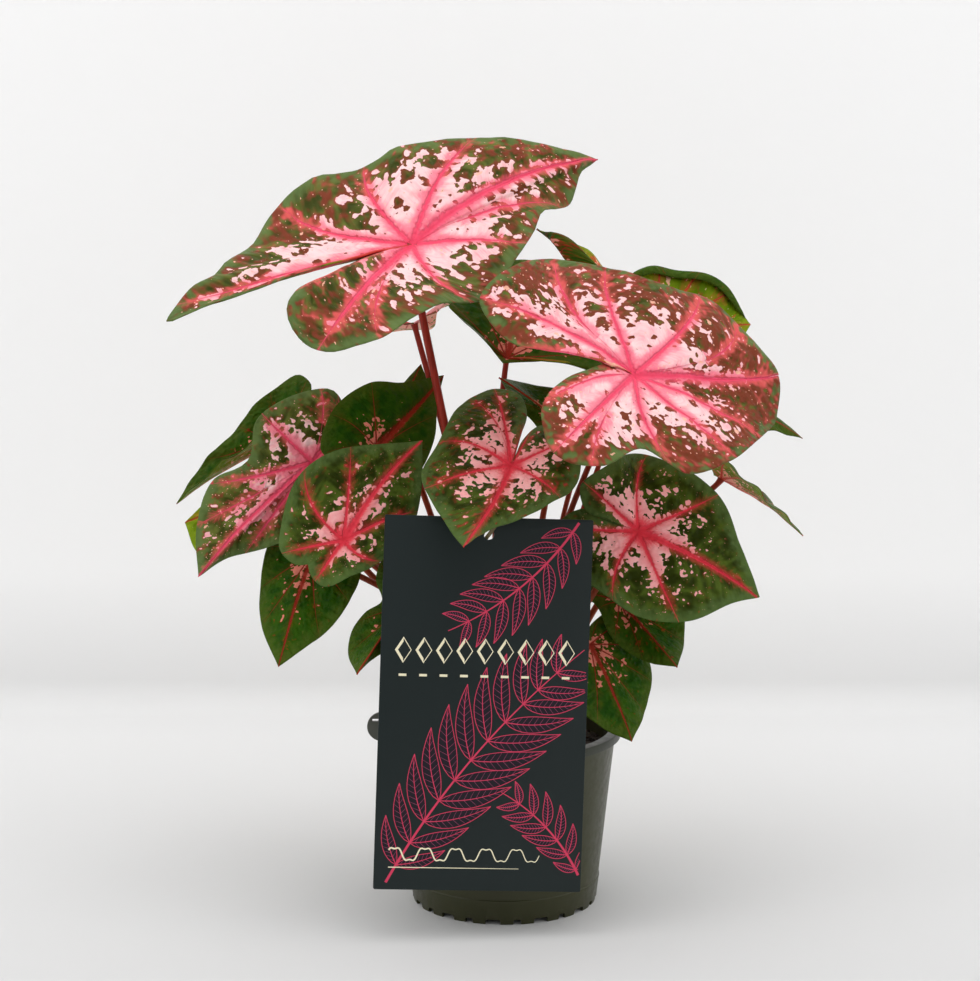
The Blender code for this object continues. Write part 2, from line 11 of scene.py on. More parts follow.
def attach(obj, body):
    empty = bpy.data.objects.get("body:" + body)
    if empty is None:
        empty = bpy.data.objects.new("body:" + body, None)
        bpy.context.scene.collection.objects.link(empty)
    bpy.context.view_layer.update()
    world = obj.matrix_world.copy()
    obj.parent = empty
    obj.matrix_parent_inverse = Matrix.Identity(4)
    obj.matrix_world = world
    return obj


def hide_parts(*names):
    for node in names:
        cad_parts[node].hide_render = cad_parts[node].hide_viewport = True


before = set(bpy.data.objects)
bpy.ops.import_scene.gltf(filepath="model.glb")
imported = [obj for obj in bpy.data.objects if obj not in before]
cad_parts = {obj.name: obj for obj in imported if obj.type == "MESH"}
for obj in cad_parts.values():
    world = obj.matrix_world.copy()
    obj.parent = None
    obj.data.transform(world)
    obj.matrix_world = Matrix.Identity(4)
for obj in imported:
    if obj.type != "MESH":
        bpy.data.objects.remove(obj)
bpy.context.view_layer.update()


# Camera: a long lens at the height of the leaves, looking a little down on the pot.
MM = 0.001
LENS = 109.9
LOOK_DOWN = math.radians(10.9)
LOOK_AT = Vector((-7.5, 0.0, 211.7)) * MM
STAND_OFF = 1.5
photo_camera = bpy.data.cameras.new("camera")
photo_camera.lens = LENS
photo_camera.sensor_width = 36.0
camera = bpy.data.objects.new("camera", photo_camera)
camera.location = LOOK_AT + STAND_OFF * Vector((0, -math.cos(LOOK_DOWN), math.sin(LOOK_DOWN)))
camera.rotation_euler = (math.pi / 2 - LOOK_DOWN, 0, 0)
bpy.context.scene.collection.objects.link(camera)
bpy.context.scene.camera = camera
bpy.context.scene.view_settings.view_transform = "Standard"


# Studio: a pale floor that turns up into a pale wall a hand's breadth or two behind the pot, a
# broad soft light above and in front, and weaker light from both sides. The paper carries painted
# shade: it is darker towards the camera and at the foot of the wall. The paper is clear from its
# back, so that the plant is also seen from behind the wall.
WALL_BACK = 0.364
SWEEP_RADIUS = 0.02
SWEEP_STEPS = 8
FLOOR_REACH = 3.0
WALL_HEIGHT = 3.0


def srgb(red, green, blue):
    """A colour read as 0 to 255 values, as the linear values that a shader wants."""
    return tuple(((value / 255 + 0.055) / 1.055) ** 2.4 if value > 10 else value / 255 / 12.92
                 for value in (red, green, blue))


def new_material(name, colour, roughness):
    made = bpy.data.materials.new(name)
    made.use_nodes = True
    shader = made.node_tree.nodes["Principled BSDF"]
    shader.inputs["Base Color"].default_value = (*colour, 1.0)
    shader.inputs["Roughness"].default_value = roughness
    return made, shader


def new_node(tree, kind, inputs=None, **settings):
    """A node with its settings, and with each input set to a value or fed from a socket."""
    node = tree.nodes.new(kind)
    for label, setting in settings.items():
        setattr(node, label, setting)
    for label, value in (inputs or {}).items():
        if isinstance(value, bpy.types.NodeSocket):
            tree.links.new(value, node.inputs[label])
        else:
            node.inputs[label].default_value = value
    return node


def object_place(tree):
    return tree.nodes.new("ShaderNodeTexCoord").outputs["Object"]


def maths(tree, operation, first, second=0.0):
    """One Math node, on sockets or plain numbers."""
    return new_node(tree, "ShaderNodeMath", {0: first, 1: second}, operation=operation).outputs[0]


def map_range(tree, value, low, high, to_low=0.0, to_high=1.0, step="LINEAR"):
    """A step from one value to another as the input goes from low to high."""
    inputs = {"Value": value, "From Min": low, "From Max": high, "To Min": to_low, "To Max": to_high}
    return new_node(tree, "ShaderNodeMapRange", inputs, interpolation_type=step).outputs["Result"]


def link_object(name, mesh):
    made = bpy.data.objects.new(name, mesh)
    bpy.context.scene.collection.objects.link(made)
    return made


sweep_line = [(-FLOOR_REACH, 0.0)]
for step in range(SWEEP_STEPS + 1):
    turn = math.pi / 2 * step / SWEEP_STEPS
    sweep_line.append((WALL_BACK - SWEEP_RADIUS + SWEEP_RADIUS * math.sin(turn),
                       SWEEP_RADIUS - SWEEP_RADIUS * math.cos(turn)))
sweep_line.append((WALL_BACK, WALL_HEIGHT))
sweep_shape = bmesh.new()
sweep_edge = [sweep_shape.verts.new((-FLOOR_REACH, y, z)) for y, z in sweep_line]
sweep_links = [sweep_shape.edges.new(pair) for pair in zip(sweep_edge, sweep_edge[1:])]
drawn = bmesh.ops.extrude_edge_only(sweep_shape, edges=sweep_links)
moved = [part for part in drawn["geom"] if isinstance(part, bmesh.types.BMVert)]
bmesh.ops.translate(sweep_shape, verts=moved, vec=(2 * FLOOR_REACH, 0, 0))
sweep_shape.faces.ensure_lookup_table()
sweep_shape.normal_update()
if sweep_shape.faces[0].normal.z < 0:
    bmesh.ops.reverse_faces(sweep_shape, faces=sweep_shape.faces)
sweep_mesh = bpy.data.meshes.new("studio_sweep")
sweep_shape.to_mesh(sweep_mesh)
sweep_shape.free()
sweep_mesh.shade_smooth()
sweep = link_object("studio_sweep", sweep_mesh)
# Painted shade on the paper: the floor grows darker towards the camera, and the wall is darker at its
# foot and lighter upwards, where the studio's light falls off
PAPER_FRONT_SHADE = (-0.12, 0.3, 0.645, 0.76)
PAPER_FOOT_SHADE = (0.0, 0.09, 0.0, 0.2)
paper, paper_shader = new_material("studio_paper", srgb(226, 226, 226), 1.0)
tree = paper.node_tree
split = new_node(tree, "ShaderNodeSeparateXYZ", {0: object_place(tree)})
tone = maths(tree, "ADD", map_range(tree, split.outputs["Y"], *PAPER_FRONT_SHADE),
             map_range(tree, split.outputs["Z"], *PAPER_FOOT_SHADE))
tree.links.new(tone, paper_shader.inputs["Base Color"])
one_sided = new_node(tree, "ShaderNodeMixShader", {
    "Fac": tree.nodes.new("ShaderNodeNewGeometry").outputs["Backfacing"],
    1: paper_shader.outputs["BSDF"],
    2: tree.nodes.new("ShaderNodeBsdfTransparent").outputs["BSDF"]})
tree.links.new(one_sided.outputs["Shader"], tree.nodes["Material Output"].inputs["Surface"])
sweep_mesh.materials.append(paper)

# Air: brighter from the wall's side than from the room's
AIR_FALL = (-0.9, 0.1, 0.42, 1.0)
world = bpy.data.worlds.new("studio_air")
bpy.context.scene.world = world
world.use_nodes = True
air = world.node_tree
sky = air.nodes.new("ShaderNodeTexCoord").outputs["Generated"]
sky_split = new_node(air, "ShaderNodeSeparateXYZ", {0: sky})
air.links.new(map_range(air, sky_split.outputs["Y"], *AIR_FALL),
              air.nodes["Background"].inputs["Strength"])
air.nodes["Background"].inputs["Color"].default_value = (1.0, 1.0, 1.0, 1.0)


def soft_light(name, place, aim, size, power):
    lamp = bpy.data.lights.new(name, "AREA")
    lamp.shape = "RECTANGLE"
    lamp.size, lamp.size_y = size
    lamp.energy = power
    made = bpy.data.objects.new(name, lamp)
    made.location = place
    made.rotation_euler = (Vector(aim) - Vector(place)).to_track_quat("-Z", "Y").to_euler()
    made.visible_camera = False
    bpy.context.scene.collection.objects.link(made)


soft_light("light_above", (-0.1, -0.25, 1.5), (0, 0, 0.2), (1.9, 1.5), 12.0)
soft_light("light_left", (-1.5, -0.8, 0.7), (0, 0, 0.2), (0.9, 1.0), 4.5)
soft_light("light_right", (1.5, -0.8, 0.7), (0, 0, 0.2), (0.9, 1.0), 4.5)


# Pot: a thin pot of dark olive polypropylene, moulded in one piece, with a flat rim band, a
# tapered wall, a notched foot and one ear to hang a label from.
POT_HEIGHT = 90.0
RIM_RADIUS = 59.0
RIM_INNER = 53.2
RIM_BAND = 4.2
WALL_TOP = 56.0
WALL_FOOT = 46.7
WALL = 1.4
FLOOR_UNDER = 4.5
FLOOR_UPPER = 6.0
HUB_RADIUS = 10.0
FOOT_LINE = 12.5
NOTCHES = 24
NOTCH_HEIGHT = 2.7
NOTCH_WIDTHS = (4.0, 7.5)
DRAIN_HOLES = 6
DRAIN_RADIUS = 4.5
DRAIN_CIRCLE = 30.0
EAR_PLACE = (-62.5, 0, 89.5)
EAR_RADIUS = 7.5
EAR_THICKNESS = 2.0
EAR_SLOT = (3.2, 6.0, 1.4)
EAR_SLOT_PLACE = (-65.7, 0, 93.0)
POT_STEPS = 144


def finished_mesh(name, shape):
    """The bmesh in millimetres as a mesh in metres."""
    bmesh.ops.scale(shape, vec=(MM, MM, MM), verts=shape.verts)
    mesh = bpy.data.meshes.new(name)
    shape.to_mesh(mesh)
    shape.free()
    return mesh


def arc(centre, radius, start, end, steps):
    """Points of a round in a (radius, height) profile, between two angles in degrees."""
    turns = np.radians(np.linspace(start, end, steps + 1))
    return [(centre[0] + radius * math.cos(turn), centre[1] + radius * math.sin(turn))
            for turn in turns]


def turned(name, profile, steps):
    """A (radius, height) profile turned once round Z."""
    shape = bmesh.new()
    ring = [shape.verts.new((radius, 0.0, height)) for radius, height in profile]
    edges = [shape.edges.new(pair) for pair in zip(ring, ring[1:])]
    bmesh.ops.spin(
        shape, geom=ring + edges, cent=(0, 0, 0), axis=(0, 0, 1), dvec=(0, 0, 0),
        angle=2 * math.pi, steps=steps, use_merge=True, use_duplicate=False)
    bmesh.ops.remove_doubles(shape, verts=shape.verts, dist=0.0005)
    bmesh.ops.recalc_face_normals(shape, faces=shape.faces)
    return finished_mesh(name, shape)


def wall_at(height):
    """Outer radius of the pot's wall at a height."""
    return WALL_FOOT + (WALL_TOP - WALL_FOOT) * height / (POT_HEIGHT - RIM_BAND)


def edges_by_reach(shape, least, most):
    """The edges whose ends are between least and most apart from front to back."""
    return [edge for edge in shape.edges
            if least <= abs(edge.verts[0].co.y - edge.verts[1].co.y) < most]


def soften(shape, edges, offset, segments):
    bmesh.ops.bevel(shape, geom=edges, offset=offset, segments=segments, affect="EDGES",
                    profile=0.5, material=-1)


def cut_or_join(target, tool_mesh, operation):
    """One Boolean on the target, worked out at once, with its tool removed again."""
    tool = link_object("tool", tool_mesh)
    step = target.modifiers.new("boolean", "BOOLEAN")
    step.operation = operation
    step.object = tool
    step.solver = "EXACT"
    depsgraph = bpy.context.evaluated_depsgraph_get()
    result = bpy.data.meshes.new_from_object(target.evaluated_get(depsgraph))
    target.modifiers.clear()
    target.data = result
    bpy.data.objects.remove(tool)


under_rim = POT_HEIGHT - RIM_BAND
pot_profile = [
    (0, FLOOR_UPPER),
    *arc((wall_at(8.0) - WALL - 2.0, FLOOR_UPPER + 2.0), 2.0, -90, 0, 4),
    (wall_at(under_rim) - WALL, under_rim),
    (wall_at(under_rim) - WALL, POT_HEIGHT - 2.4),
    (RIM_INNER, POT_HEIGHT - 1.2),
    *arc((RIM_INNER + 0.5, POT_HEIGHT - 0.5), 0.5, 180, 90, 3),
    *arc((RIM_RADIUS - 0.7, POT_HEIGHT - 0.7), 0.7, 90, 0, 4),
    *arc((RIM_RADIUS - 0.3, under_rim + 0.3), 0.3, 0, -90, 2),
    (wall_at(under_rim) + 0.8, under_rim),
    *arc((wall_at(under_rim) + 0.8, under_rim - 0.8), 0.8, 90, 180, 3),
    (wall_at(60.0), 60.0),
    (wall_at(30.0), 30.0),
    (wall_at(FOOT_LINE + 0.5), FOOT_LINE + 0.5),
    (wall_at(FOOT_LINE) + 0.45, FOOT_LINE + 0.1),
    (wall_at(FOOT_LINE) + 0.45, FOOT_LINE - 0.5),
    (wall_at(FOOT_LINE) + 0.25, FOOT_LINE - 1.0),
    (WALL_FOOT + 0.4, 1.0),
    (WALL_FOOT, 0),
    (WALL_FOOT - WALL, 0),
    (WALL_FOOT - WALL, FLOOR_UNDER),
    (HUB_RADIUS, FLOOR_UNDER),
    (HUB_RADIUS, 0),
    (0, 0),
]
pot = link_object("nursery_pot", turned("nursery_pot", pot_profile, POT_STEPS))

ear_shape = bmesh.new()
bmesh.ops.create_cone(
    ear_shape, cap_ends=True, segments=48, radius1=EAR_RADIUS, radius2=EAR_RADIUS,
    depth=EAR_THICKNESS,
    matrix=Matrix.Translation(EAR_PLACE) @ Matrix.Rotation(math.pi / 2, 4, "X"))
soften(ear_shape, edges_by_reach(ear_shape, 0.0, 0.1), 0.3, 2)
cut_or_join(pot, finished_mesh("ear", ear_shape), "UNION")

opening_shape = bmesh.new()
for index in range(NOTCHES):
    turn = Matrix.Rotation(2 * math.pi * (index + 0.5) / NOTCHES, 4, "Z")
    width = NOTCH_WIDTHS[index % 2]
    place = turn @ Matrix.Translation((WALL_FOOT - WALL / 2, 0, 0))
    bmesh.ops.create_cube(opening_shape, size=1.0,
                          matrix=place @ Matrix.Diagonal((4 * WALL, width, 2 * NOTCH_HEIGHT, 1)))
lengthwise = [edge for edge in opening_shape.edges
              if abs(edge.verts[0].co.xy.length - edge.verts[1].co.xy.length) > WALL
              and min(vert.co.z for vert in edge.verts) > 0]
soften(opening_shape, lengthwise, 1.0, 3)
for index in range(DRAIN_HOLES):
    turn = Matrix.Rotation(2 * math.pi * (index + 0.5) / DRAIN_HOLES, 4, "Z")
    bmesh.ops.create_cone(
        opening_shape, cap_ends=True, segments=32, radius1=DRAIN_RADIUS, radius2=DRAIN_RADIUS,
        depth=3 * FLOOR_UPPER, matrix=turn @ Matrix.Translation((DRAIN_CIRCLE, 0, FLOOR_UPPER)))
bmesh.ops.create_cube(
    opening_shape, size=1.0,
    matrix=Matrix.Translation(EAR_SLOT_PLACE) @ Matrix.Diagonal((*EAR_SLOT, 1)))
cut_or_join(pot, finished_mesh("openings", opening_shape), "DIFFERENCE")


def noise_map(tree, vector, scale, detail=3.0, roughness=0.55):
    """A noise texture's value, 0 to 1, on the given coordinates."""
    inputs = {"Vector": vector, "Scale": scale, "Detail": detail, "Roughness": roughness}
    return new_node(tree, "ShaderNodeTexNoise", inputs).outputs["Fac"]


def ramp(tree, value, low, high, to_low=0.0, to_high=1.0):
    """A smooth step from one value to another as the input goes from low to high."""
    return map_range(tree, value, low, high, to_low, to_high, "SMOOTHSTEP")


def blend_colour(tree, share, first, second):
    """Mixes two colours, each a socket or a linear colour."""
    inputs = {"Factor": share}
    for label, colour in (("A", first), ("B", second)):
        inputs[label] = (*colour, 1.0) if isinstance(colour, tuple) else colour
    return new_node(tree, "ShaderNodeMix", inputs, data_type="RGBA").outputs["Result"]


def bump(tree, shader, height, distance):
    node = new_node(tree, "ShaderNodeBump", {"Distance": distance, "Height": height})
    tree.links.new(node.outputs["Normal"], shader.inputs["Normal"])


def coat(piece, finish):
    """Gives a piece its one material."""
    piece.data.materials.clear()
    piece.data.materials.append(finish)


pot_finish, pot_shader = new_material("pot_plastic", srgb(60, 62, 50), 0.38)
tree = pot_finish.node_tree
where = object_place(tree)
cloudy = noise_map(tree, where, 28.0, 4.0)
dusty = noise_map(tree, where, 260.0, 5.0, 0.7)
split = new_node(tree, "ShaderNodeSeparateXYZ", {0: where})
rim_share = ramp(tree, split.outputs["Z"], (under_rim - 1.3) * MM, (under_rim + 0.4) * MM)
body_colour = blend_colour(tree, cloudy, srgb(44, 45, 22), srgb(61, 62, 37))
dust = ramp(tree, dusty, 0.62, 0.78, 0.0, 0.25)
body_colour = blend_colour(tree, dust, body_colour, srgb(96, 98, 78))
rim_colour = blend_colour(tree, rim_share, body_colour, srgb(50, 53, 43))
past_rim = (-RIM_RADIUS - 1.2) * MM
ear_share = ramp(tree, split.outputs["X"], past_rim, past_rim + 1.0 * MM, 1.0, 0.0)
tree.links.new(blend_colour(tree, ear_share, rim_colour, srgb(84, 86, 78)),
               pot_shader.inputs["Base Color"])
tree.links.new(ramp(tree, dusty, 0.3, 0.8, 0.32, 0.5), pot_shader.inputs["Roughness"])
pot_shader.inputs["Specular IOR Level"].default_value = 0.32
bump(tree, pot_shader, cloudy, 0.0006)
pot.data.set_sharp_from_angle(angle=math.radians(35))
coat(pot, pot_finish)
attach(pot, "root")
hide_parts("pot")


# Potting mix: dark milled peat filled to just under the rim, with crumbs and short fibres on
# its surface, pressed loosely round the tuber and the stalks.
SOIL_EDGE = 79.0
SOIL_CROWN = 82.0
SOIL_GAP = 0.3
CRUMBS = 900
CRUMB_SIZE = (0.5, 1.9)
FIBRE_EVERY = 9


def soil_height(x, y):
    """Height of the peat's surface, with its lumps."""
    share = math.hypot(x, y) / (wall_at(SOIL_EDGE) - WALL)
    lumps = noise.noise(Vector((x * 0.09, y * 0.09, 3.0))) * 1.4
    grit = noise.noise(Vector((x * 0.45, y * 0.45, 7.0))) * 0.55
    return SOIL_CROWN - (SOIL_CROWN - SOIL_EDGE) * share ** 2 + lumps + grit


soil_radius = wall_at(SOIL_EDGE - 1.5) - WALL - SOIL_GAP
soil_profile = [(soil_radius * share, SOIL_CROWN) for share in np.linspace(0, 1, 40)]
soil_profile += [(wall_at(FLOOR_UPPER + SOIL_GAP) - WALL - SOIL_GAP - 2.5, FLOOR_UPPER + SOIL_GAP),
                 (0, FLOOR_UPPER + SOIL_GAP)]
soil_mesh = turned("peat_bed", soil_profile, 120)
for vertex in soil_mesh.vertices:
    x, y, z = vertex.co / MM
    if z > SOIL_CROWN - 1:
        vertex.co.z = soil_height(x, y) * MM
peat = link_object("peat_bed", soil_mesh)
soil_mesh.shade_smooth()

rng = np.random.default_rng(11)
crumb_shape = bmesh.new()
for index in range(CRUMBS):
    distance = (soil_radius - 1.5) * math.sqrt(rng.random())
    turn = rng.random() * 2 * math.pi
    x, y = distance * math.cos(turn), distance * math.sin(turn)
    size = rng.uniform(*CRUMB_SIZE)
    shape = Matrix.Diagonal((size, size * rng.uniform(0.5, 1.0), size * rng.uniform(0.35, 0.8), 1))
    if index % FIBRE_EVERY == 0:
        shape = Matrix.Diagonal((rng.uniform(3.0, 7.0), 0.35, 0.35, 1))
    spin = Matrix.Rotation(rng.random() * 6.28, 4, "Z")
    spin = spin @ Matrix.Rotation(rng.uniform(-0.5, 0.5), 4, "Y")
    bmesh.ops.create_icosphere(
        crumb_shape, subdivisions=1, radius=1.0,
        matrix=Matrix.Translation((x, y, soil_height(x, y) + 0.15 * size)) @ spin @ shape)
crumbs = link_object("peat_crumbs", finished_mesh("peat_crumbs", crumb_shape))


def wandering(name, plain, roughness, darker, lighter, grain):
    """A finish that wanders between two colours, and the noise that they follow."""
    finish, shader = new_material(name, plain, roughness)
    tree = finish.node_tree
    wander = noise_map(tree, object_place(tree), *grain)
    tree.links.new(blend_colour(tree, wander, darker, lighter), shader.inputs["Base Color"])
    return finish, shader, wander


peat_finish, peat_shader, grains = wandering(
    "peat", srgb(38, 28, 22), 0.95, srgb(14, 10, 8), srgb(64, 48, 36), (420.0, 6.0, 0.7))
bump(peat_finish.node_tree, peat_shader, grains, 0.0012)
for piece in (peat, crumbs):
    coat(piece, peat_finish)
    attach(piece, "root")
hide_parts("potting_mix")

tuber_finish, tuber_shader, cork = wandering(
    "tuber", srgb(110, 80, 55), 0.85, srgb(70, 48, 32), srgb(150, 116, 84), (160.0, 5.0, 0.65))
bump(tuber_finish.node_tree, tuber_shader, cork, 0.001)
coat(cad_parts["tuber"], tuber_finish)


# Hang tag: a stiff sheet of dark slate plastic, die cut and punched, that leans on the pot's rim.
# Its face is printed with fine fern sprays in pink and a small cream ornament.
TAG_SIZE = (102.0, 1.0, 183.0)
TAG_CENTRE = (-10.8, -58.2, 116.6)
TAG_TURNS = ((6.2, "Z"), (-7.8, "X"), (2.8, "Y"))
TAG_HOLE_DROP = 8.4
TAG_HOLE_RADIUS = 2.5
tag_frame = Matrix.Translation(TAG_CENTRE)
for angle, axis in TAG_TURNS:
    tag_frame = tag_frame @ Matrix.Rotation(math.radians(angle), 4, axis)
tag_shape = bmesh.new()
bmesh.ops.create_cube(tag_shape, size=1.0, matrix=Matrix.Diagonal((*TAG_SIZE, 1)))
soften(tag_shape, edges_by_reach(tag_shape, TAG_SIZE[1] / 2, 9.0), 0.9, 4)
soften(tag_shape, edges_by_reach(tag_shape, 0.0, 0.01), 0.12, 2)
bmesh.ops.transform(tag_shape, matrix=tag_frame, verts=tag_shape.verts)
tag = link_object("hang_tag", finished_mesh("hang_tag", tag_shape))
punch_shape = bmesh.new()
bmesh.ops.create_cone(
    punch_shape, cap_ends=True, segments=48, radius1=TAG_HOLE_RADIUS, radius2=TAG_HOLE_RADIUS,
    depth=8.0,
    matrix=tag_frame @ Matrix.Translation((0, 0, TAG_SIZE[2] / 2 - TAG_HOLE_DROP))
    @ Matrix.Rotation(math.pi / 2, 4, "X"))
cut_or_join(tag, finished_mesh("punch", punch_shape), "DIFFERENCE")
tag_finish, tag_shader, _ = wandering(
    "tag_plastic", srgb(28, 36, 37), 0.5, srgb(21, 30, 30), srgb(28, 38, 38), (9.0, 3.0))
tag_shader.inputs["Specular IOR Level"].default_value = 0.25
tree = tag_finish.node_tree
tree.links.new(ramp(tree, noise_map(tree, object_place(tree), 900.0, 2.0), 0.2, 0.8, 0.36, 0.5),
               tag_shader.inputs["Roughness"])
tag.data.set_sharp_from_angle(angle=math.radians(40))
coat(tag, tag_finish)
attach(tag, "root")
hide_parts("tag")

PRINT_FACE = -TAG_SIZE[1] / 2
PRINT_RIM = 0.6


def on_sheet(spot):
    return abs(spot[0]) < TAG_SIZE[0] / 2 - PRINT_RIM and abs(spot[1]) < TAG_SIZE[2] / 2 - PRINT_RIM


def printed_bands(name, bands, lift, colour):
    """Filled shapes on the tag's face, each between two lists of points in the tag's own width
    and height, and each a hair's breadth off its neighbours."""
    shape = bmesh.new()
    outward = tag_frame.to_3x3() @ Vector((0, -1, 0))
    for index, (left, right) in enumerate(bands):
        level = PRINT_FACE - lift - 0.002 * (index % 5)
        rows = [pair for pair in zip(left, right) if on_sheet(pair[0]) and on_sheet(pair[1])]
        corners = [[shape.verts.new(tag_frame @ Vector((x, level, z))) for x, z in row]
                   for row in rows]
        for lower, upper in zip(corners, corners[1:]):
            face = shape.faces.new((lower[0], lower[1], upper[1], upper[0]))
            face.normal_update()
            if face.normal.dot(outward) < 0:
                face.normal_flip()
    ink, shader, _ = wandering(name, colour, 0.45, tuple(0.85 * part for part in colour), colour,
                               (220.0, 3.0))
    shader.inputs["Specular IOR Level"].default_value = 0.25
    printed = link_object(name, finished_mesh(name, shape))
    coat(printed, ink)
    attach(printed, "root")


def stroke(points, half_width, end_share=0.5):
    """A line as a band that narrows towards its end."""
    line = np.array(points, float)
    along = np.gradient(line, axis=0)
    across = np.stack((-along[:, 1], along[:, 0]), axis=1) / np.linalg.norm(along, axis=1)[:, None]
    across *= half_width * np.linspace(1, end_share, len(line))[:, None]
    return [tuple(spot) for spot in line + across], [tuple(spot) for spot in line - across]


def bent_line(start, heading, length, bend, count):
    """A line that leaves start at a heading in degrees and turns by bend degrees on its way."""
    points = [start]
    x, z = start
    for index in range(count):
        turn = math.radians(heading + bend * (index + 0.5) / count)
        x += length / count * math.cos(turn)
        z += length / count * math.sin(turn)
        points.append((x, z))
    return points


RIB_STEPS = 60
PINNA_STEPS = 12
PINNA_ANGLE = 58
PINNA_CURL = 30


def fern_spray(start, heading, length, bend, pinnae, reach):
    """A fern frond's rib with leaflets on both sides: their outlines, veins and fills."""
    rib = bent_line(start, heading, length, bend, RIB_STEPS)
    bold, fine, fills = [stroke(rib, 0.65, 0.3)], [], []
    for index in range(pinnae):
        share = 0.08 + 0.9 * index / pinnae
        spot = rib[int(share * RIB_STEPS)]
        along = heading + bend * share
        size = reach * math.sin(math.pi * (0.14 + 0.8 * share)) ** 0.8
        for side in (-1, 1):
            middle = bent_line(spot, along + side * PINNA_ANGLE, size, -side * PINNA_CURL,
                               PINNA_STEPS)
            left, right = [], []
            for step, (x, z) in enumerate(middle):
                turn = along + side * PINNA_ANGLE - side * PINNA_CURL * step / PINNA_STEPS
                across = math.radians(turn + 90)
                half = (0.8 + 0.095 * size) * math.sin(math.pi * (step / PINNA_STEPS) ** 0.75)
                left.append((x + half * math.cos(across), z + half * math.sin(across)))
                right.append((x - half * math.cos(across), z - half * math.sin(across)))
            fills.append((left, right))
            bold += [stroke(middle, 0.24), stroke(left, 0.17, 1), stroke(right, 0.17, 1)]
            for step in range(1, PINNA_STEPS - 1):
                fine.append(stroke([middle[step], left[step + 1]], 0.11))
                fine.append(stroke([middle[step], right[step + 1]], 0.11))
    return bold, fine, fills


SPRAYS = (((-45, -88), 62, 150, -22, 11, 38), ((44, 90), 238, 84, -34, 8, 24),
          ((50, -84), 116, 58, 36, 6, 18))
bold_lines, fine_lines, leaf_fills = [], [], []
for spray in SPRAYS:
    for kept, found in zip((bold_lines, fine_lines, leaf_fills), fern_spray(*spray)):
        kept += found
printed_bands("tag_print_plum", leaf_fills, 0.01, srgb(27, 20, 31))
printed_bands("tag_print_mauve", fine_lines, 0.03, srgb(150, 72, 104))
printed_bands("tag_print_pink", bold_lines, 0.05, srgb(216, 62, 96))

# Cream ornament: a row of lozenges with thick and thin sides over a row of dashes, and a ribbon
LOZENGES = 9
LOZENGE_PITCH = 10
LOZENGE_LINE = 26
LOZENGE_HALF = (4.1, 6.4)
DASH_LINES = (13.2, 14.4)
DASH_HALF = 1.9
RIBBON_LINE = -74
RIBBON_SPAN = (-44, 30)
UNDERLINE = -80.5
UNDERLINE_SPAN = (-44, 20)
cream_bands = []
for index in range(LOZENGES):
    centre = LOZENGE_PITCH * (index - (LOZENGES - 1) / 2)
    half_width, half_height = LOZENGE_HALF
    for side, thick in ((-1, 1.5), (1, 0.45)):
        for way in (-1, 1):
            outer = [(centre, LOZENGE_LINE + way * half_height),
                     (centre + side * half_width, LOZENGE_LINE)]
            inner = [(centre, LOZENGE_LINE + way * (half_height - 1.6 * thick)),
                     (centre + side * (half_width - thick), LOZENGE_LINE)]
            cream_bands.append((outer, inner))
    cream_bands.append([[(centre + way * DASH_HALF, height) for way in (-1, 1)]
                        for height in reversed(DASH_LINES)])
ribbon = [(x, RIBBON_LINE + 3.4 * math.sin(x * 0.42) + 0.8 * math.sin(x * 1.26))
          for x in np.linspace(*RIBBON_SPAN, 150)]
underline = [(x, UNDERLINE) for x in np.linspace(*UNDERLINE_SPAN, 20)]
cream_bands += [stroke(ribbon, 0.42), stroke(underline, 0.25)]
printed_bands("tag_print_cream", cream_bands, 0.07, srgb(250, 242, 208))


# Ring: a thin ring of olive brown plastic, closed through the tag's hole and round a stalk behind
# it, so that the tag stays with the plant.
TIE_RADIUS = 15.0
TIE_CHORD = 18.0
TIE_TURN = math.radians(60)
TIE_THICKNESS = 1.0
TIE_STEPS = 96


def tube(name, spots, radius, sides, swelling=None):
    """A round tube along points in millimetres, closed into a ring unless it swells on its way."""
    curve = bpy.data.curves.new(name, "CURVE")
    curve.dimensions = "3D"
    curve.bevel_depth = radius * MM
    curve.bevel_resolution = sides
    curve.use_fill_caps = swelling is not None
    spline = curve.splines.new("POLY")
    spline.use_cyclic_u = swelling is None
    spline.points.add(len(spots) - 1)
    for index, spot in enumerate(spots):
        spline.points[index].co = (*(spot * MM), 1.0)
        if swelling:
            spline.points[index].radius = swelling(index / (len(spots) - 1))
    held = bpy.data.objects.new(name, curve)
    bpy.context.scene.collection.objects.link(held)
    mesh = bpy.data.meshes.new_from_object(
        held.evaluated_get(bpy.context.evaluated_depsgraph_get()))
    bpy.data.objects.remove(held)
    mesh.shade_smooth()
    return link_object(name, mesh)


hole = tag_frame @ Vector((0, 0, TAG_SIZE[2] / 2 - TAG_HOLE_DROP))
behind = (tag_frame.to_3x3() @ Vector((0, 1, 0))).normalized()
across = (tag_frame.to_3x3() @ Vector((math.cos(TIE_TURN), 0, math.sin(TIE_TURN)))).normalized()
tie_centre = hole + across * TIE_CHORD / 2 + behind * math.sqrt(TIE_RADIUS ** 2 - TIE_CHORD ** 2 / 4)
tie_line = [tie_centre + (behind * math.cos(turn) + across * math.sin(turn)) * TIE_RADIUS
            for turn in (2 * math.pi * index / TIE_STEPS for index in range(TIE_STEPS))]
tie_finish, _, _ = wandering("tie_plastic", srgb(98, 84, 44), 0.35, srgb(78, 64, 34),
                             srgb(116, 100, 56), (300.0,))
tie = tube("tag_ring", tie_line, TIE_THICKNESS, 4)
coat(tie, tie_finish)
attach(tie, "root")
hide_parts("tag_tie")


# Leaves: thin living blades, each a heart with two lobes behind the place where its stalk joins.
# A blade's surface is spanned from the joint to its waved margin, with the ribs sunk into the
# upper face.

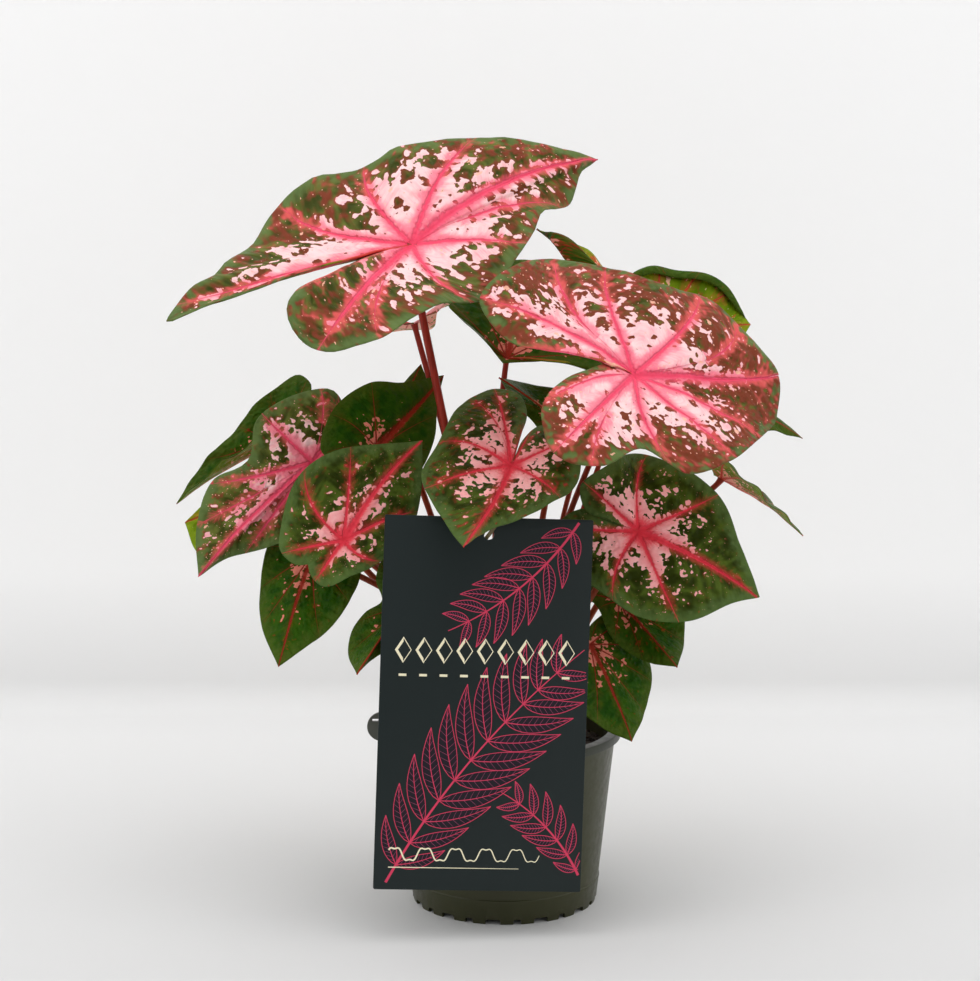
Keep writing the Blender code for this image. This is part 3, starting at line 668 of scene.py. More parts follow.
# Points are millimetres from the joint, from the tip down each side and in along the lobe. A rib
# is where it leaves the joint and where it meets the margin, both as shares of the way round from
# the tip, where it starts to show, and its strength. patches gives how far out the pale patches
# reach at shares of the way round, and haze how brown the green between them is. foot is how far
# from the pot's axis, and on which side in degrees, the leaf's stalk stands in the peat.
SIDE_RIBS = ((0.09, 0.10, 0, 0.8), (0.19, 0.19, 0, 0.8), (0.29, 0.28, 0, 0.8), (0.38, 0.37, 0, 0.9),
             (0.46, 0.44, 0.2, 0.5), (0.54, 0.56, 0.2, 0.5), (0.62, 0.63, 0, 0.9),
             (0.71, 0.72, 0, 0.8), (0.81, 0.81, 0, 0.8), (0.91, 0.90, 0, 0.8))
LEAF_TABLE = {
    "crown_left": dict(
        joint=(-46, 5, 335), tip=(95, 92, 34), sinus=(-27, -10, -7),
        left=((64, 79, 44), (29, 64, 48), (4, 52, 47), (-13, 43, 41), (-20, 40, 35), (-30, 37, 31),
              (-39, 34, 30), (-49, 29, 30), (-58, 24, 26), (-70, 13, 15), (-79, -1, 1),
              (-84, -7, -3), (-91, -15, -7), (-96, -24, -14), (-106, -35, -18), (-113, -43, -25),
              (-116, -54, -31), (-108, -52, -28), (-94, -47, -23), (-70, -38, -17),
              (-51, -28, -11)),
        right=((91, 90, 31), (86, 83, 28), (83, 72, 21), (80, 63, 15), (74, 56, 13), (66, 47, 12),
               (61, 33, 3), (48, -2, -12), (43, -15, -18), (31, -33, -24), (17, -48, -25),
               (3, -63, -28), (-11, -79, -34), (-25, -90, -37), (-37, -97, -38), (-47, -99, -35),
               (-54, -97, -28), (-56, -93, -21), (-52, -75, -14), (-45, -57, -12)),
        foot=(7.5, 190), sway=(0, -6), wave=2.0, stalk=2.0, look="crown",
        ribs=((0.036, 0.0, 0, 1.2), (0.11, 0.09, 0, 1.0), (0.196, 0.175, 0, 1.0),
              (0.275, 0.238, 0, 1.0), (0.37, 0.35, 0, 0.8), (0.455, 0.47, 0, 1.0),
              (0.57, 0.60, 0.1, 0.6), (0.65, 0.655, 0, 1.3), (0.665, 0.70, 0.5, 0.5),
              (0.755, 0.786, 0, 1.0), (0.878, 0.876, 0, 1.0), (0.975, 0.94, 0.3, 0.7)),
        patches=((0.0, 0.75), (0.06, 0.5), (0.1, 0.75), (0.15, 0.75), (0.2, 0.6), (0.24, 0.35),
                 (0.3, 0.7), (0.36, 0.8), (0.42, 0.4), (0.5, 0.2), (0.6, 0.3), (0.68, 0.45),
                 (0.72, 0.7), (0.78, 0.5), (0.85, 0.6), (0.89, 0.75), (0.94, 0.6)), haze=0.55),
    "crown_right": dict(
        joint=(62, -45, 277), tip=(72, 40, -31), sinus=(-16, -3, 5),
        left=((75, 53, -9), (63, 55, 9), (41, 65, 29), (14, 57, 36), (-10, 54, 46),
              (-34, 46, 52), (-61, 23, 48), (-74, -2, 36), (-58, -15, 18), (-27, -3, 11)),
        right=((62, 15, -34), (46, -13, -40), (25, -36, -40), (4, -37, -30), (-18, -57, -34),
               (-39, -62, -27), (-46, -48, -13), (-33, -19, 2)),
        foot=(7.5, 320), sway=(1, 18), arch=0.05, wave=2.0, stalk=1.5, look="crown",
        ribs=((0.025, 0.044, 0, 1.2), (0.05, 0.10, 0.5, 0.6), (0.12, 0.14, 0, 1.0),
              (0.25, 0.225, 0, 1.0), (0.33, 0.27, 0.3, 0.8), (0.36, 0.37, 0, 1.2),
              (0.42, 0.43, 0.2, 0.5), (0.56, 0.60, 0.1, 0.6), (0.66, 0.66, 0, 1.2),
              (0.672, 0.70, 0.5, 0.6), (0.76, 0.795, 0, 1.0), (0.875, 0.89, 0, 1.0),
              (0.955, 0.955, 0, 0.9)),
        patches=((0.0, 0.35), (0.05, 0.5), (0.1, 0.5), (0.16, 0.6), (0.22, 0.55), (0.28, 0.5),
                 (0.33, 0.6), (0.355, 0.85), (0.4, 0.55), (0.5, 0.45), (0.57, 0.75), (0.65, 0.7),
                 (0.7, 0.8), (0.77, 0.7), (0.82, 0.45), (0.9, 0.85), (0.96, 0.45)), haze=0.9),
    "back_centre": dict(
        joint=(1, 45, 272), tip=(18, 55, 45), sinus=(-2, -3, -2),
        left=((-1, 50, 44), (-23, 35, 36), (-30, 17, 24), (-15, 15, 11)),
        right=((34, 38, 30), (50, 10, 6), (47, -5, -4), (22, -1, -1)),
        foot=(16, 95), sway=(-4, 4), look="low",
        patches=((0.0, 0.1),), haze=-0.3),
    "back_high": dict(
        joint=(71, 78, 282), tip=(-55, -23, 55), sinus=(4, 2, -4),
        left=((-47, -36, 49), (-34, -36, 32), (-20, -20, 8), (-6, -8, -12), (0, -2, -8)),
        right=((-35, -12, 46), (-13, 6, 28), (9, 20, 13), (22, 24, -1), (16, 14, -6)),
        foot=(25, 50), sway=(-4, 0), stalk=1.3, look="turned",
        curls=((0.02, 0.48, 0.4, 200),), haze=0.5),
    "back_right": dict(
        joint=(77, 48, 284), tip=(50, 14, 3), sinus=(-5, -1, 2),
        left=((45, 16, 9), (36, 15, 22), (12, 11, 30), (-6, 5, 32), (-13, 2, 29), (-9, 0, 14)),
        right=((41, 2, -9), (23, -12, -24), (2, -21, -29), (-7, -17, -23), (-6, -8, -9)),
        foot=(16, 30), stalk=1.3, look="turned",
        patches=((0.0, 0.25), (0.3, 0.5), (0.6, 0.3)), curls=((0.02, 0.48, 0.36, 215),), haze=-0.1),
    "under_crown": dict(
        joint=(-46, 38, 291), tip=(-30, 58, -12), sinus=(0, -5, 1),
        left=((-44, 40, -13), (-57, 0, -8), (-53, -23, -2), (-33, -27, 3), (-16, -13, 0)),
        right=((6, 42, -8), (12, 20, 3), (21, -2, 15), (19, -13, 14)),
        foot=(7.5, 120), sway=(0, 10), look="middle", haze=0.3,
        patches=((0.0, 0.75), (0.12, 1.3), (0.88, 1.3))),
    "far_left": dict(
        joint=(-117, 42, 228), tip=(-50, -24, -26), sinus=(5, 1, 3),
        left=((-42, -28, -18), (-24, -24, -4), (-6, -20, 8), (5, -12, 12)),
        right=((-45, -18, -18), (-27, -4, 2), (-10, 8, 19), (12, 18, 33), (17, 14, 29),
               (11, 4, 15)),
        foot=(25, 160), look="low", haze=-0.3),
    "left": dict(
        joint=(-96, 0, 226), tip=(-55, -34, -51), sinus=(9, 3, 5),
        left=((-44, -25, -45), (-18, -20, -38), (8, -13, -28), (22, -6, -14), (24, 1, -2),
              (17, 4, 4)),
        right=((-57, -19, -30), (-49, -7, -7), (-32, -1, 2), (-29, 8, 19), (-7, 16, 33),
               (10, 17, 33), (16, 13, 23), (12, 7, 12)),
        foot=(16, 175), look="crown",
        ribs=((-0.02, 0.0, 0, 1.1), (0.11, 0.11, 0, 0.9), (0.23, 0.24, 0, 0.8), (0.36, 0.36, 0, 0.8),
              (0.55, 0.59, 0, 1.2), (0.60, 0.62, 0.5, 0.5), (0.72, 0.715, 0, 1.0),
              (0.87, 0.855, 0, 1.0), (0.93, 0.92, 0.4, 0.6)),
        patches=((0.0, 0.65), (0.1, 0.5), (0.2, 0.38), (0.35, 0.32), (0.5, 0.2), (0.58, 0.25),
                 (0.65, 0.5), (0.74, 0.65), (0.8, 0.4), (0.9, 0.45), (0.96, 0.55)), haze=0.1),
    "left_behind": dict(
        joint=(-116, 16, 209), tip=(-46, -4, -16), sinus=(4, 0, 1),
        left=((-38, -14, -30), (-17, -14, -29), (3, -10, -21), (10, -6, -12), (7, -2, -3)),
        right=((-37, -3, -7), (-20, 2, 5), (-2, 6, 13), (8, 6, 13), (7, 3, 6)),
        foot=(25, 180), sway=(5, 0), look="bright", haze=-0.5),
    "left_upright": dict(
        joint=(-64, 2, 233), tip=(33, 37, 31), sinus=(-6, -4, -3),
        left=((14, 23, 30), (-4, 16, 30), (-17, 8, 24), (-26, -3, 11), (-27, -10, 0),
              (-17, -10, -6)),
        right=((30, 23, 20), (28, 10, 0), (18, -3, -16), (4, -14, -26), (-5, -15, -23),
               (-8, -10, -12)),
        foot=(16, 208), look="low", haze=-1.0,
        patches=((0.0, 0.1), (0.12, 0.12), (0.2, 0.24), (0.28, 0.2), (0.4, 0.05), (0.85, 0.05)),
        ribs=((-0.03, 0.0, 0, 1.8), (0.18, 0.182, 0, 0.9), (0.28, 0.304, 0, 0.7), (0.38, 0.40, 0, 0.5),
              (0.62, 0.60, 0, 0.5), (0.72, 0.70, 0, 0.6), (0.82, 0.81, 0, 0.6), (0.90, 0.89, 0, 0.5))),
    "front_left": dict(
        joint=(-79, -42, 195), tip=(38, 32, 44), sinus=(-17, -9, -10),
        left=((24, 30, 43), (3, 25, 42), (-18, 17, 34), (-30, 0, 9), (-30, -8, -4),
              (-23, -10, -10)),
        right=((38, 22, 25), (32, 7, 2), (18, -3, -10), (4, -9, -16), (-10, -13, -20),
               (-16, -11, -14)),
        foot=(25, 220), sway=(6, 16), bend=30, look="middle",
        ribs=((0.035, 0.0, 0, 1.4), (0.14, 0.145, 0, 0.8), (0.32, 0.25, 0, 0.8),
              (0.44, 0.44, 0, 0.9), (0.54, 0.54, 0, 1.2), (0.66, 0.70, 0, 1.1),
              (0.86, 0.84, 0, 1.0)),
        patches=((0.0, 0.5), (0.1, 0.32), (0.18, 0.28), (0.25, 0.15), (0.33, 0.36), (0.4, 0.46),
                 (0.46, 0.2), (0.54, 0.25), (0.6, 0.35), (0.66, 0.55), (0.72, 0.3), (0.82, 0.25),
                 (0.9, 0.2), (0.96, 0.4)), haze=-0.1),
    "low_left": dict(
        joint=(-96, -12, 182), tip=(-15, -40, -48), sinus=(2, 3, 4),
        left=((-1, -33, -39), (16, -25, -25), (24, -11, -8), (24, 3, 9), (16, 12, 18),
              (6, 10, 13)),
        right=((-24, -23, -32), (-26, -12, -20), (-23, 6, 2), (-18, 18, 17), (-10, 19, 20),
               (-2, 10, 11)),
        foot=(25, 200), sway=(20, 5), bend=20, look="low", haze=-0.3),
    "beside_tag": dict(
        joint=(-49, -36, 161), tip=(-23, -28, -28), sinus=(4, 2, 5),
        left=((-13, -13, -22), (8, -14, -17), (18, -10, -8), (12, -4, -1)),
        right=((-28, -8, -21), (-26, -1, -11), (-20, 2, -4), (-12, 3, 1), (-15, 6, 13),
               (-11, 9, 21), (-4, 7, 14)),
        foot=(25, 240), wave=1.0, look="low", haze=-0.5),
    "front": dict(
        joint=(3, -30, 230), tip=(-23, -56, -29), sinus=(2, 7, 4),
        left=((-7, -36, -23), (16, -24, -17), (31, -10, -8), (34, 8, 4), (29, 22, 13),
              (16, 26, 16), (7, 18, 11)),
        right=((-33, -33, -20), (-44, -9, -3), (-35, 13, 11), (-21, 39, 27), (-10, 46, 31),
               (4, 43, 28), (8, 33, 22), (5, 19, 12)),
        foot=(25, 268), sway=(-7, -3), bend=15, look="middle",
        ribs=((0.06, 0.0, 0, 1.2), (0.22, 0.20, 0, 1.0), (0.345, 0.345, 0, 1.0),
              (0.43, 0.44, 0.1, 0.5), (0.56, 0.56, 0.1, 0.5), (0.645, 0.65, 0, 1.0),
              (0.66, 0.69, 0.4, 0.6), (0.76, 0.785, 0, 1.1), (0.87, 0.875, 0, 1.0)),
        patches=((0.0, 0.25), (0.06, 0.3), (0.12, 0.5), (0.17, 0.65), (0.24, 0.3), (0.3, 0.7),
                 (0.38, 0.5), (0.45, 0.15), (0.58, 0.1), (0.66, 0.65), (0.7, 0.4), (0.78, 0.65),
                 (0.83, 0.45), (0.93, 0.5)), haze=0.15),
    "inner": dict(
        joint=(28, 38, 241), tip=(-31, -6, 23), sinus=(3, -2, -2),
        left=((-23, 10, 8), (-11, -2, -4), (0, -16, -18), (12, -18, -19), (10, -8, -8)),
        right=((-20, 18, 17), (-3, 14, 15), (18, 8, 12), (27, -1, 3), (15, -4, -2)),
        foot=(7.5, 40), wave=1.0, look="low", haze=-0.4),
    "right": dict(
        joint=(66, -15, 194), tip=(61, -3, -33), sinus=(-8, 1, 5),
        left=((52, 2, -9), (43, 11, 13), (25, 16, 28), (3, 17, 36), (-16, -5, 34),
              (-29, -4, 23), (-26, -3, 11), (-15, 0, 6)),
        right=((48, -10, -34), (25, -17, -42), (2, -18, -40), (-20, -15, -27), (-39, -10, -11),
               (-40, -3, 4), (-28, 2, 11), (-14, 3, 8)),
        foot=(16, 340), look="middle",
        ribs=((0.02, -0.005, 0, 1.3), (0.15, 0.155, 0, 1.0), (0.30, 0.27, 0, 1.0),
              (0.40, 0.40, 0, 1.0), (0.62, 0.61, 0, 1.0), (0.73, 0.76, 0, 1.0),
              (0.86, 0.865, 0, 1.0)),
        patches=((0.0, 0.2), (0.05, 0.35), (0.09, 0.5), (0.13, 0.5), (0.18, 0.35), (0.25, 0.45),
                 (0.3, 0.4), (0.34, 0.6), (0.39, 0.75), (0.45, 0.2), (0.55, 0.2), (0.66, 0.6),
                 (0.75, 0.5), (0.82, 0.45), (0.88, 0.55), (0.95, 0.3)), haze=-0.2),
    "low_right": dict(
        joint=(58, 3, 154), tip=(28, -25, -28), sinus=(-6, 2, 5),
        left=((33, -2, -18), (31, 9, 3), (17, 16, 21), (5, 15, 25), (-4, 9, 18)),
        right=((10, -13, -27), (-5, -10, -15), (-14, -3, 1), (-25, -3, 5), (-21, 2, 12)),
        foot=(25, 350), sway=(3, 11), wave=1.0, look="low", haze=-0.1),
    "over_rim": dict(
        joint=(43, -10, 135), tip=(20, -24, -44), sinus=(-2, 3, 6),
        left=((29, -4, -29), (30, 12, -9), (19, 15, 5), (9, 13, 13), (2, 8, 10)),
        right=((8, -25, -38), (-11, -25, -23), (-22, -15, -1), (-20, -6, 9), (-9, 1, 9)),
        foot=(25, 330), wave=1.0, look="low", haze=-0.4),
    "far_right": dict(
        joint=(110, 20, 214), tip=(43, 5, -30), sinus=(-4, 0, 2),
        left=((34, 20, -23), (20, 32, -11), (5, 30, 1), (-2, 16, 4)),
        right=((31, -10, -16), (13, -24, 2), (1, -24, 14), (-5, -14, 10)),
        foot=(25, 10), sway=(-4, 20), look="middle", haze=0.2),
    "right_behind": dict(
        joint=(108, 40, 254), tip=(46, 12, -25), sinus=(-4, 0, 3),
        left=((31, 18, -13), (12, 26, 1), (-4, 24, 10), (-8, 12, 7)),
        right=((30, 2, -20), (10, -12, -20), (-7, -18, -18), (-9, -10, -9)),
        foot=(25, 30), look="low", haze=-0.4),
    "back_left": dict(
        joint=(-56, 40, 238), tip=(13, 17, 29), sinus=(-2, -2, -5),
        left=((4, 15, 20), (-15, 9, 9), (-22, 1, -4), (-12, -2, -8)),
        right=((17, 7, 20), (19, -3, 6), (12, -13, -10), (4, -9, -10)),
        foot=(16, 140), wave=1.0, look="low", haze=-0.4),
}

# What most leaves share: the blade's arch and the height of its waves, its stalk's radius, how far
# the stalk sways to a side and bends over, and where the margin rolls up, from one share of the way
# round to another, with the rolled width as a share of the way out, and the angle
USUAL_LEAF = dict(arch=0.04, wave=1.5, stalk=1.6, sway=(0, 0), bend=45.0, curls=())
LEAVES = {name: {**USUAL_LEAF, **leaf} for name, leaf in LEAF_TABLE.items()}
WAVES = 7
RINGS = 40
BIG_LEAF = 60
COLUMNS_ROUND = {True: 210, False: 150}
LEAF_THICKNESS = 0.5
DEFAULT_PATCHES = {"crown": 0.6, "middle": 0.45, "bright": 0.1, "low": 0.2, "turned": 0.6}


def unit(vector):
    return vector / np.linalg.norm(vector)


def smooth_curve(points, count):
    """Points evenly spaced along a smooth curve through the given ones, ends included."""
    points = np.asarray(points, float)
    chords = np.linalg.norm(np.diff(points, axis=0), axis=1)
    slopes = np.gradient(points, np.concatenate(([0.0], np.cumsum(chords))), axis=0)
    dense = [points[0]]
    for index, chord in enumerate(chords):
        for share in np.linspace(0, 1, 25)[1:]:
            s2 = share * share
            s3 = s2 * share
            dense.append((2 * s3 - 3 * s2 + 1) * points[index]
                         + (s3 - 2 * s2 + share) * chord * slopes[index]
                         + (3 * s2 - 2 * s3) * points[index + 1]
                         + (s3 - s2) * chord * slopes[index + 1])
    dense = np.array(dense)
    run = np.concatenate(([0.0], np.cumsum(np.linalg.norm(np.diff(dense, axis=0), axis=1))))
    wanted = np.linspace(0, run[-1], count)
    return np.stack([np.interp(wanted, run, dense[:, axis]) for axis in range(3)], axis=1)


def margin_line(leaf, count):
    """The margin's reach from the joint: tip, left side and lobe, sinus, right lobe and side."""
    left = smooth_curve([leaf["tip"], *leaf["left"], leaf["sinus"]], count)
    right = smooth_curve([leaf["tip"], *leaf["right"], leaf["sinus"]], count)
    return np.concatenate((left, right[::-1][1:]))


def leaf_normal(margin):
    """The direction that the blade's upper face looks in, on the average."""
    return unit(np.cross(margin[:-1], margin[1:]).sum(axis=0))


def blade_surface(leaf, around, outward):
    """Places on the upper face, from the share of the way round and of the way out."""
    margin = margin_line(leaf, 200)
    along = np.linspace(0, 1, len(margin))
    around = around % 1.0
    reach = np.stack([np.interp(around, along, margin[:, axis]) for axis in range(3)], axis=-1)
    rise = leaf["arch"] * np.linalg.norm(reach, axis=-1) * 4 * outward * (1 - outward)
    fade = np.abs(np.sin(2 * np.pi * around))
    wave = leaf["wave"] * outward ** 3 * fade * np.sin(2 * np.pi * WAVES * around)
    lift = leaf_normal(margin) * (rise + wave)[..., None]
    return leaf["joint"] + reach * outward[..., None] + lift


def leaf_lines(leaf):
    """The ribs in order round the blade from the midrib, with the sinus, which has no rib."""
    ribs = leaf.get("ribs", ((0.0, 0.0, 0, 1.1), *SIDE_RIBS))
    lines = sorted([*ribs, (0.5, 0.5, 0, 0.0)], key=lambda line: line[1])
    first = next(index for index, line in enumerate(lines) if line == ribs[0])
    return lines[first:] + [(start + 1, end + 1, *rest) for start, end, *rest in lines[:first + 1]]


def distance_to(points, line):
    """Shortest distance from each point to a broken line, and how far along it that is."""
    starts, ends = line[:-1], line[1:]
    steps = ends - starts
    lengths = np.linalg.norm(steps, axis=1)
    run = np.concatenate(([0.0], np.cumsum(lengths)))
    best = np.full(len(points), 1e9)
    where = np.zeros(len(points))
    for start, step, length, before in zip(starts, steps, lengths, run):
        share = np.clip((points - start) @ step / length ** 2, 0, 1)
        gap = np.linalg.norm(points - start - share[:, None] * step, axis=1)
        closer = gap < best
        best[closer] = gap[closer]
        where[closer] = before + share[closer] * length
    return best, where / run[-1]


def curl_margin(leaf, spots, around, outward, begin, finish, width, angle):
    """Rolls the margin up over the upper face between two shares of the way round."""
    normal = leaf_normal(margin_line(leaf, 200))
    joint = np.array(leaf["joint"], float)
    round_share = (around % 1.0 - begin) / (finish - begin)
    inside = (round_share > 0) & (round_share < 1)
    local = width * np.sqrt(np.sin(np.pi * np.clip(round_share, 0, 1))) + 1e-6
    edge = blade_surface(leaf, around, np.ones(len(around))) - joint
    length = np.linalg.norm(edge, axis=1)
    radius = local * length / abs(angle)
    base = np.clip(1 - 0.8 * radius / length, 0.2, 1)
    turn = np.clip((outward - 1 + local) / local, 0, 1) * angle
    along = edge / length[:, None]
    shifted = joint + (spots - joint) * (base / (1 - local))[:, None]
    foot = joint + edge * base[:, None]
    lifted = foot + along * (radius * np.sin(np.abs(turn)))[:, None]
    lifted += normal * (np.sign(angle) * radius * (1 - np.cos(turn)))[:, None]
    rolled = inside & (outward > 1 - local)
    pulled = inside & ~rolled
    share = np.clip(outward / (1 - local), 0, 1)[:, None] ** 3
    spots = np.where(pulled[:, None], spots + (shifted - spots) * share, spots)
    return np.where(rolled[:, None], lifted, spots)


def leaf_columns(lines, size):
    """Where the fan's lines leave the joint and meet the margin, with one line on each rib."""
    columns = []
    for first, second in zip(lines, lines[1:]):
        count = max(4, round((second[1] - first[1]) * COLUMNS_ROUND[size > BIG_LEAF]))
        for share in np.arange(count) / count:
            eased = share - 0.1 * math.sin(2 * math.pi * share)
            columns.append([a + (b - a) * eased for a, b in zip(first[:2], second[:2])])
    columns.append(list(lines[-1][:2]))
    return np.array(columns)


def rib_distances(leaf, lines, size, spots):
    """For each place, its distance to the nearest rib, in rib widths and in millimetres."""
    steps = np.linspace(0.02, 1, 40)
    nearest = np.full(len(spots), 1e9)
    rib_share = np.full(len(spots), 9.0)
    for a, b, shows, strength in lines[:-1]:
        if strength == 0:
            continue
        rib = blade_surface(leaf, a + (b - a) * steps ** 2, steps)
        gap, along = distance_to(spots, rib)
        half_width = (0.3 + 1.3 * (1 - along) ** 1.3) * strength * (size / 80) ** 0.4
        if a == lines[0][0] or a == lines[-1][0]:
            half_width *= 1.3
        if shows:
            half_width *= np.clip((along - shows) / 0.15, 0.01, 1)
        if (a, b) not in (lines[0][:2], lines[-1][:2]):
            fade = np.clip((0.95 - along) / 0.25, 0.01, 1)
            half_width *= fade * (0.5 if leaf["look"] == "low" else 1)
        rib_share = np.minimum(rib_share, gap / half_width)
        nearest = np.minimum(nearest, gap + 99 * (along < shows) + 14 * np.clip(along - 0.8, 0, 1))
    return rib_share, nearest


def leaf_relief(spots, around, outward, nearest, from_joint, size, index, turned_over):
    """How far each place stands off the plain surface: sunken ribs with swells between them,
    puckers, and a fine ripple at the margin."""
    depth = 0.55 * (size / 80) ** 0.5
    groove = -depth * np.exp(-(nearest / 1.7) ** 2) * np.clip(1.2 - outward, 0, 1)
    swell = 1.3 * depth * (1 - np.exp(-(nearest / 7.0) ** 2)) * np.sin(np.pi * outward ** 1.5)
    pucker = np.array([noise.noise(Vector(spot * 0.11)) for spot in spots]) * 0.6
    pucker += np.array([noise.noise(Vector(spot * 0.035)) for spot in spots]) * 1.2
    pucker *= np.clip(from_joint / 15, 0, 1) * (size / 45) ** 0.6
    ripple = np.array([noise.noise(Vector((share * 34, 0.5, index * 3.7))) for share in around])
    pucker += 1.3 * ripple * outward ** 7 * (size / 60)
    return (groove + swell) * (-1 if turned_over else 1) + pucker


def unrolled(leaf, columns, column, outward, from_joint, size, index):
    """Each place on two flat maps of the blade: fanned out round the joint, and the way round
    against the way out."""
    edge = blade_surface(leaf, columns[:, 1], np.full(len(columns), 1.0)) - leaf["joint"]
    turns = np.linalg.norm(np.diff([unit(spot) for spot in edge], axis=0), axis=1)
    turn = np.concatenate(([0.0], np.cumsum(turns)))[column]
    radius = from_joint / (80 ** 0.3 * size ** 0.7)
    flat = np.stack((radius * np.cos(turn) + 7.3 * index, radius * np.sin(turn)), axis=1)
    polar = np.stack((columns[column, 1] + 5.0 * index, outward), axis=1)
    return flat, polar


def make_leaf(name, leaf, index, finishes):
    """One blade: a fine fan of faces from the joint, with its ribs on the fan's own lines."""
    lines = leaf_lines(leaf)
    size = float(np.mean(np.linalg.norm(margin_line(leaf, 60), axis=1)))
    turned_over = leaf["look"] == "turned"
    columns = leaf_columns(lines, size)

    shape = bmesh.new()
    flat_map = shape.loops.layers.uv.new("flat")
    polar_map = shape.loops.layers.uv.new("polar")
    bmesh.ops.create_grid(shape, x_segments=len(columns) - 1, y_segments=RINGS, size=0.5)
    corners = np.array([vertex.co[:2] for vertex in shape.verts])
    column = np.rint((corners[:, 0] + 0.5) * (len(columns) - 1)).astype(int)
    outward = (np.rint((corners[:, 1] + 0.5) * RINGS) / RINGS) ** 0.8
    start, end = columns[column, 0], columns[column, 1]
    around = start + (end - start) * outward ** 2
    spots = blade_surface(leaf, around, outward)

    normal = leaf_normal(margin_line(leaf, 200))
    rib_share, nearest = rib_distances(leaf, lines, size, spots)
    margin = blade_surface(leaf, np.linspace(0, 1, 240), np.ones(240))
    to_margin, _ = distance_to(spots, margin)
    from_joint = np.linalg.norm(spots - leaf["joint"], axis=1)
    shares, limits = zip(*leaf.get("patches", ((0.0, DEFAULT_PATCHES[leaf["look"]]),)))
    pale = np.interp(around % 1.0, shares, limits, period=1.0) - outward
    relief = leaf_relief(spots, around, outward, nearest, from_joint, size, index, turned_over)
    spots = spots + normal * relief[:, None]
    for begin, finish, width, angle in leaf["curls"]:
        spots = curl_margin(leaf, spots, around, outward, begin, finish, width, math.radians(angle))

    flat, polar = unrolled(leaf, columns, column, outward, from_joint, size, index)
    order = {vertex: place for place, vertex in enumerate(shape.verts)}
    for face in shape.faces:
        for loop in face.loops:
            place = order[loop.vert]
            loop[flat_map].uv = flat[place]
            loop[polar_map].uv = polar[place]
    masks = {"rib": rib_share, "pale": pale, "rim": to_margin, "off": nearest,
             "herring": from_joint - 0.85 * nearest, "haze": np.full(len(spots), leaf["haze"])}
    layers = {label: shape.verts.layers.float.new(label) for label in masks}
    for place, vertex in enumerate(shape.verts):
        for label, values in masks.items():
            vertex[layers[label]] = float(values[place])
        vertex.co = spots[place]
    bmesh.ops.remove_doubles(shape, verts=shape.verts, dist=0.0008)
    bmesh.ops.recalc_face_normals(shape, faces=shape.faces)
    total = sum((face.normal * face.calc_area() for face in shape.faces), Vector())
    if (total.dot(Vector(normal)) < 0) != turned_over:
        bmesh.ops.reverse_faces(shape, faces=shape.faces)

    mesh = finished_mesh("leaf_" + name, shape)
    mesh.shade_smooth()
    blade = link_object("leaf_" + name, mesh)
    wall = blade.modifiers.new("thickness", "SOLIDIFY")
    wall.thickness = LEAF_THICKNESS * MM
    wall.offset = -1.0
    wall.material_offset = 1
    wall.material_offset_rim = 0
    upper, under = finishes
    coat(blade, upper)
    mesh.materials.append(under)
    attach(blade, "root")
    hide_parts("blade_" + name)


# The third of these colours, the margin's, is a painted sheen: the grey green that a margin shows
# where it catches the light
SKIN_COLOURS = ("Green", "Deep Green", "Margin Sheen", "Haze", "Haze Glow", "Patch", "Patch Tint",
                "Rib", "Rib Centre", "Fleck")
SKIN_AMOUNTS = {"Haze Shift": 0.0, "Tint": 1.0, "Specks": 1.0, "Heart": 0.1, "Glow": 1.0}


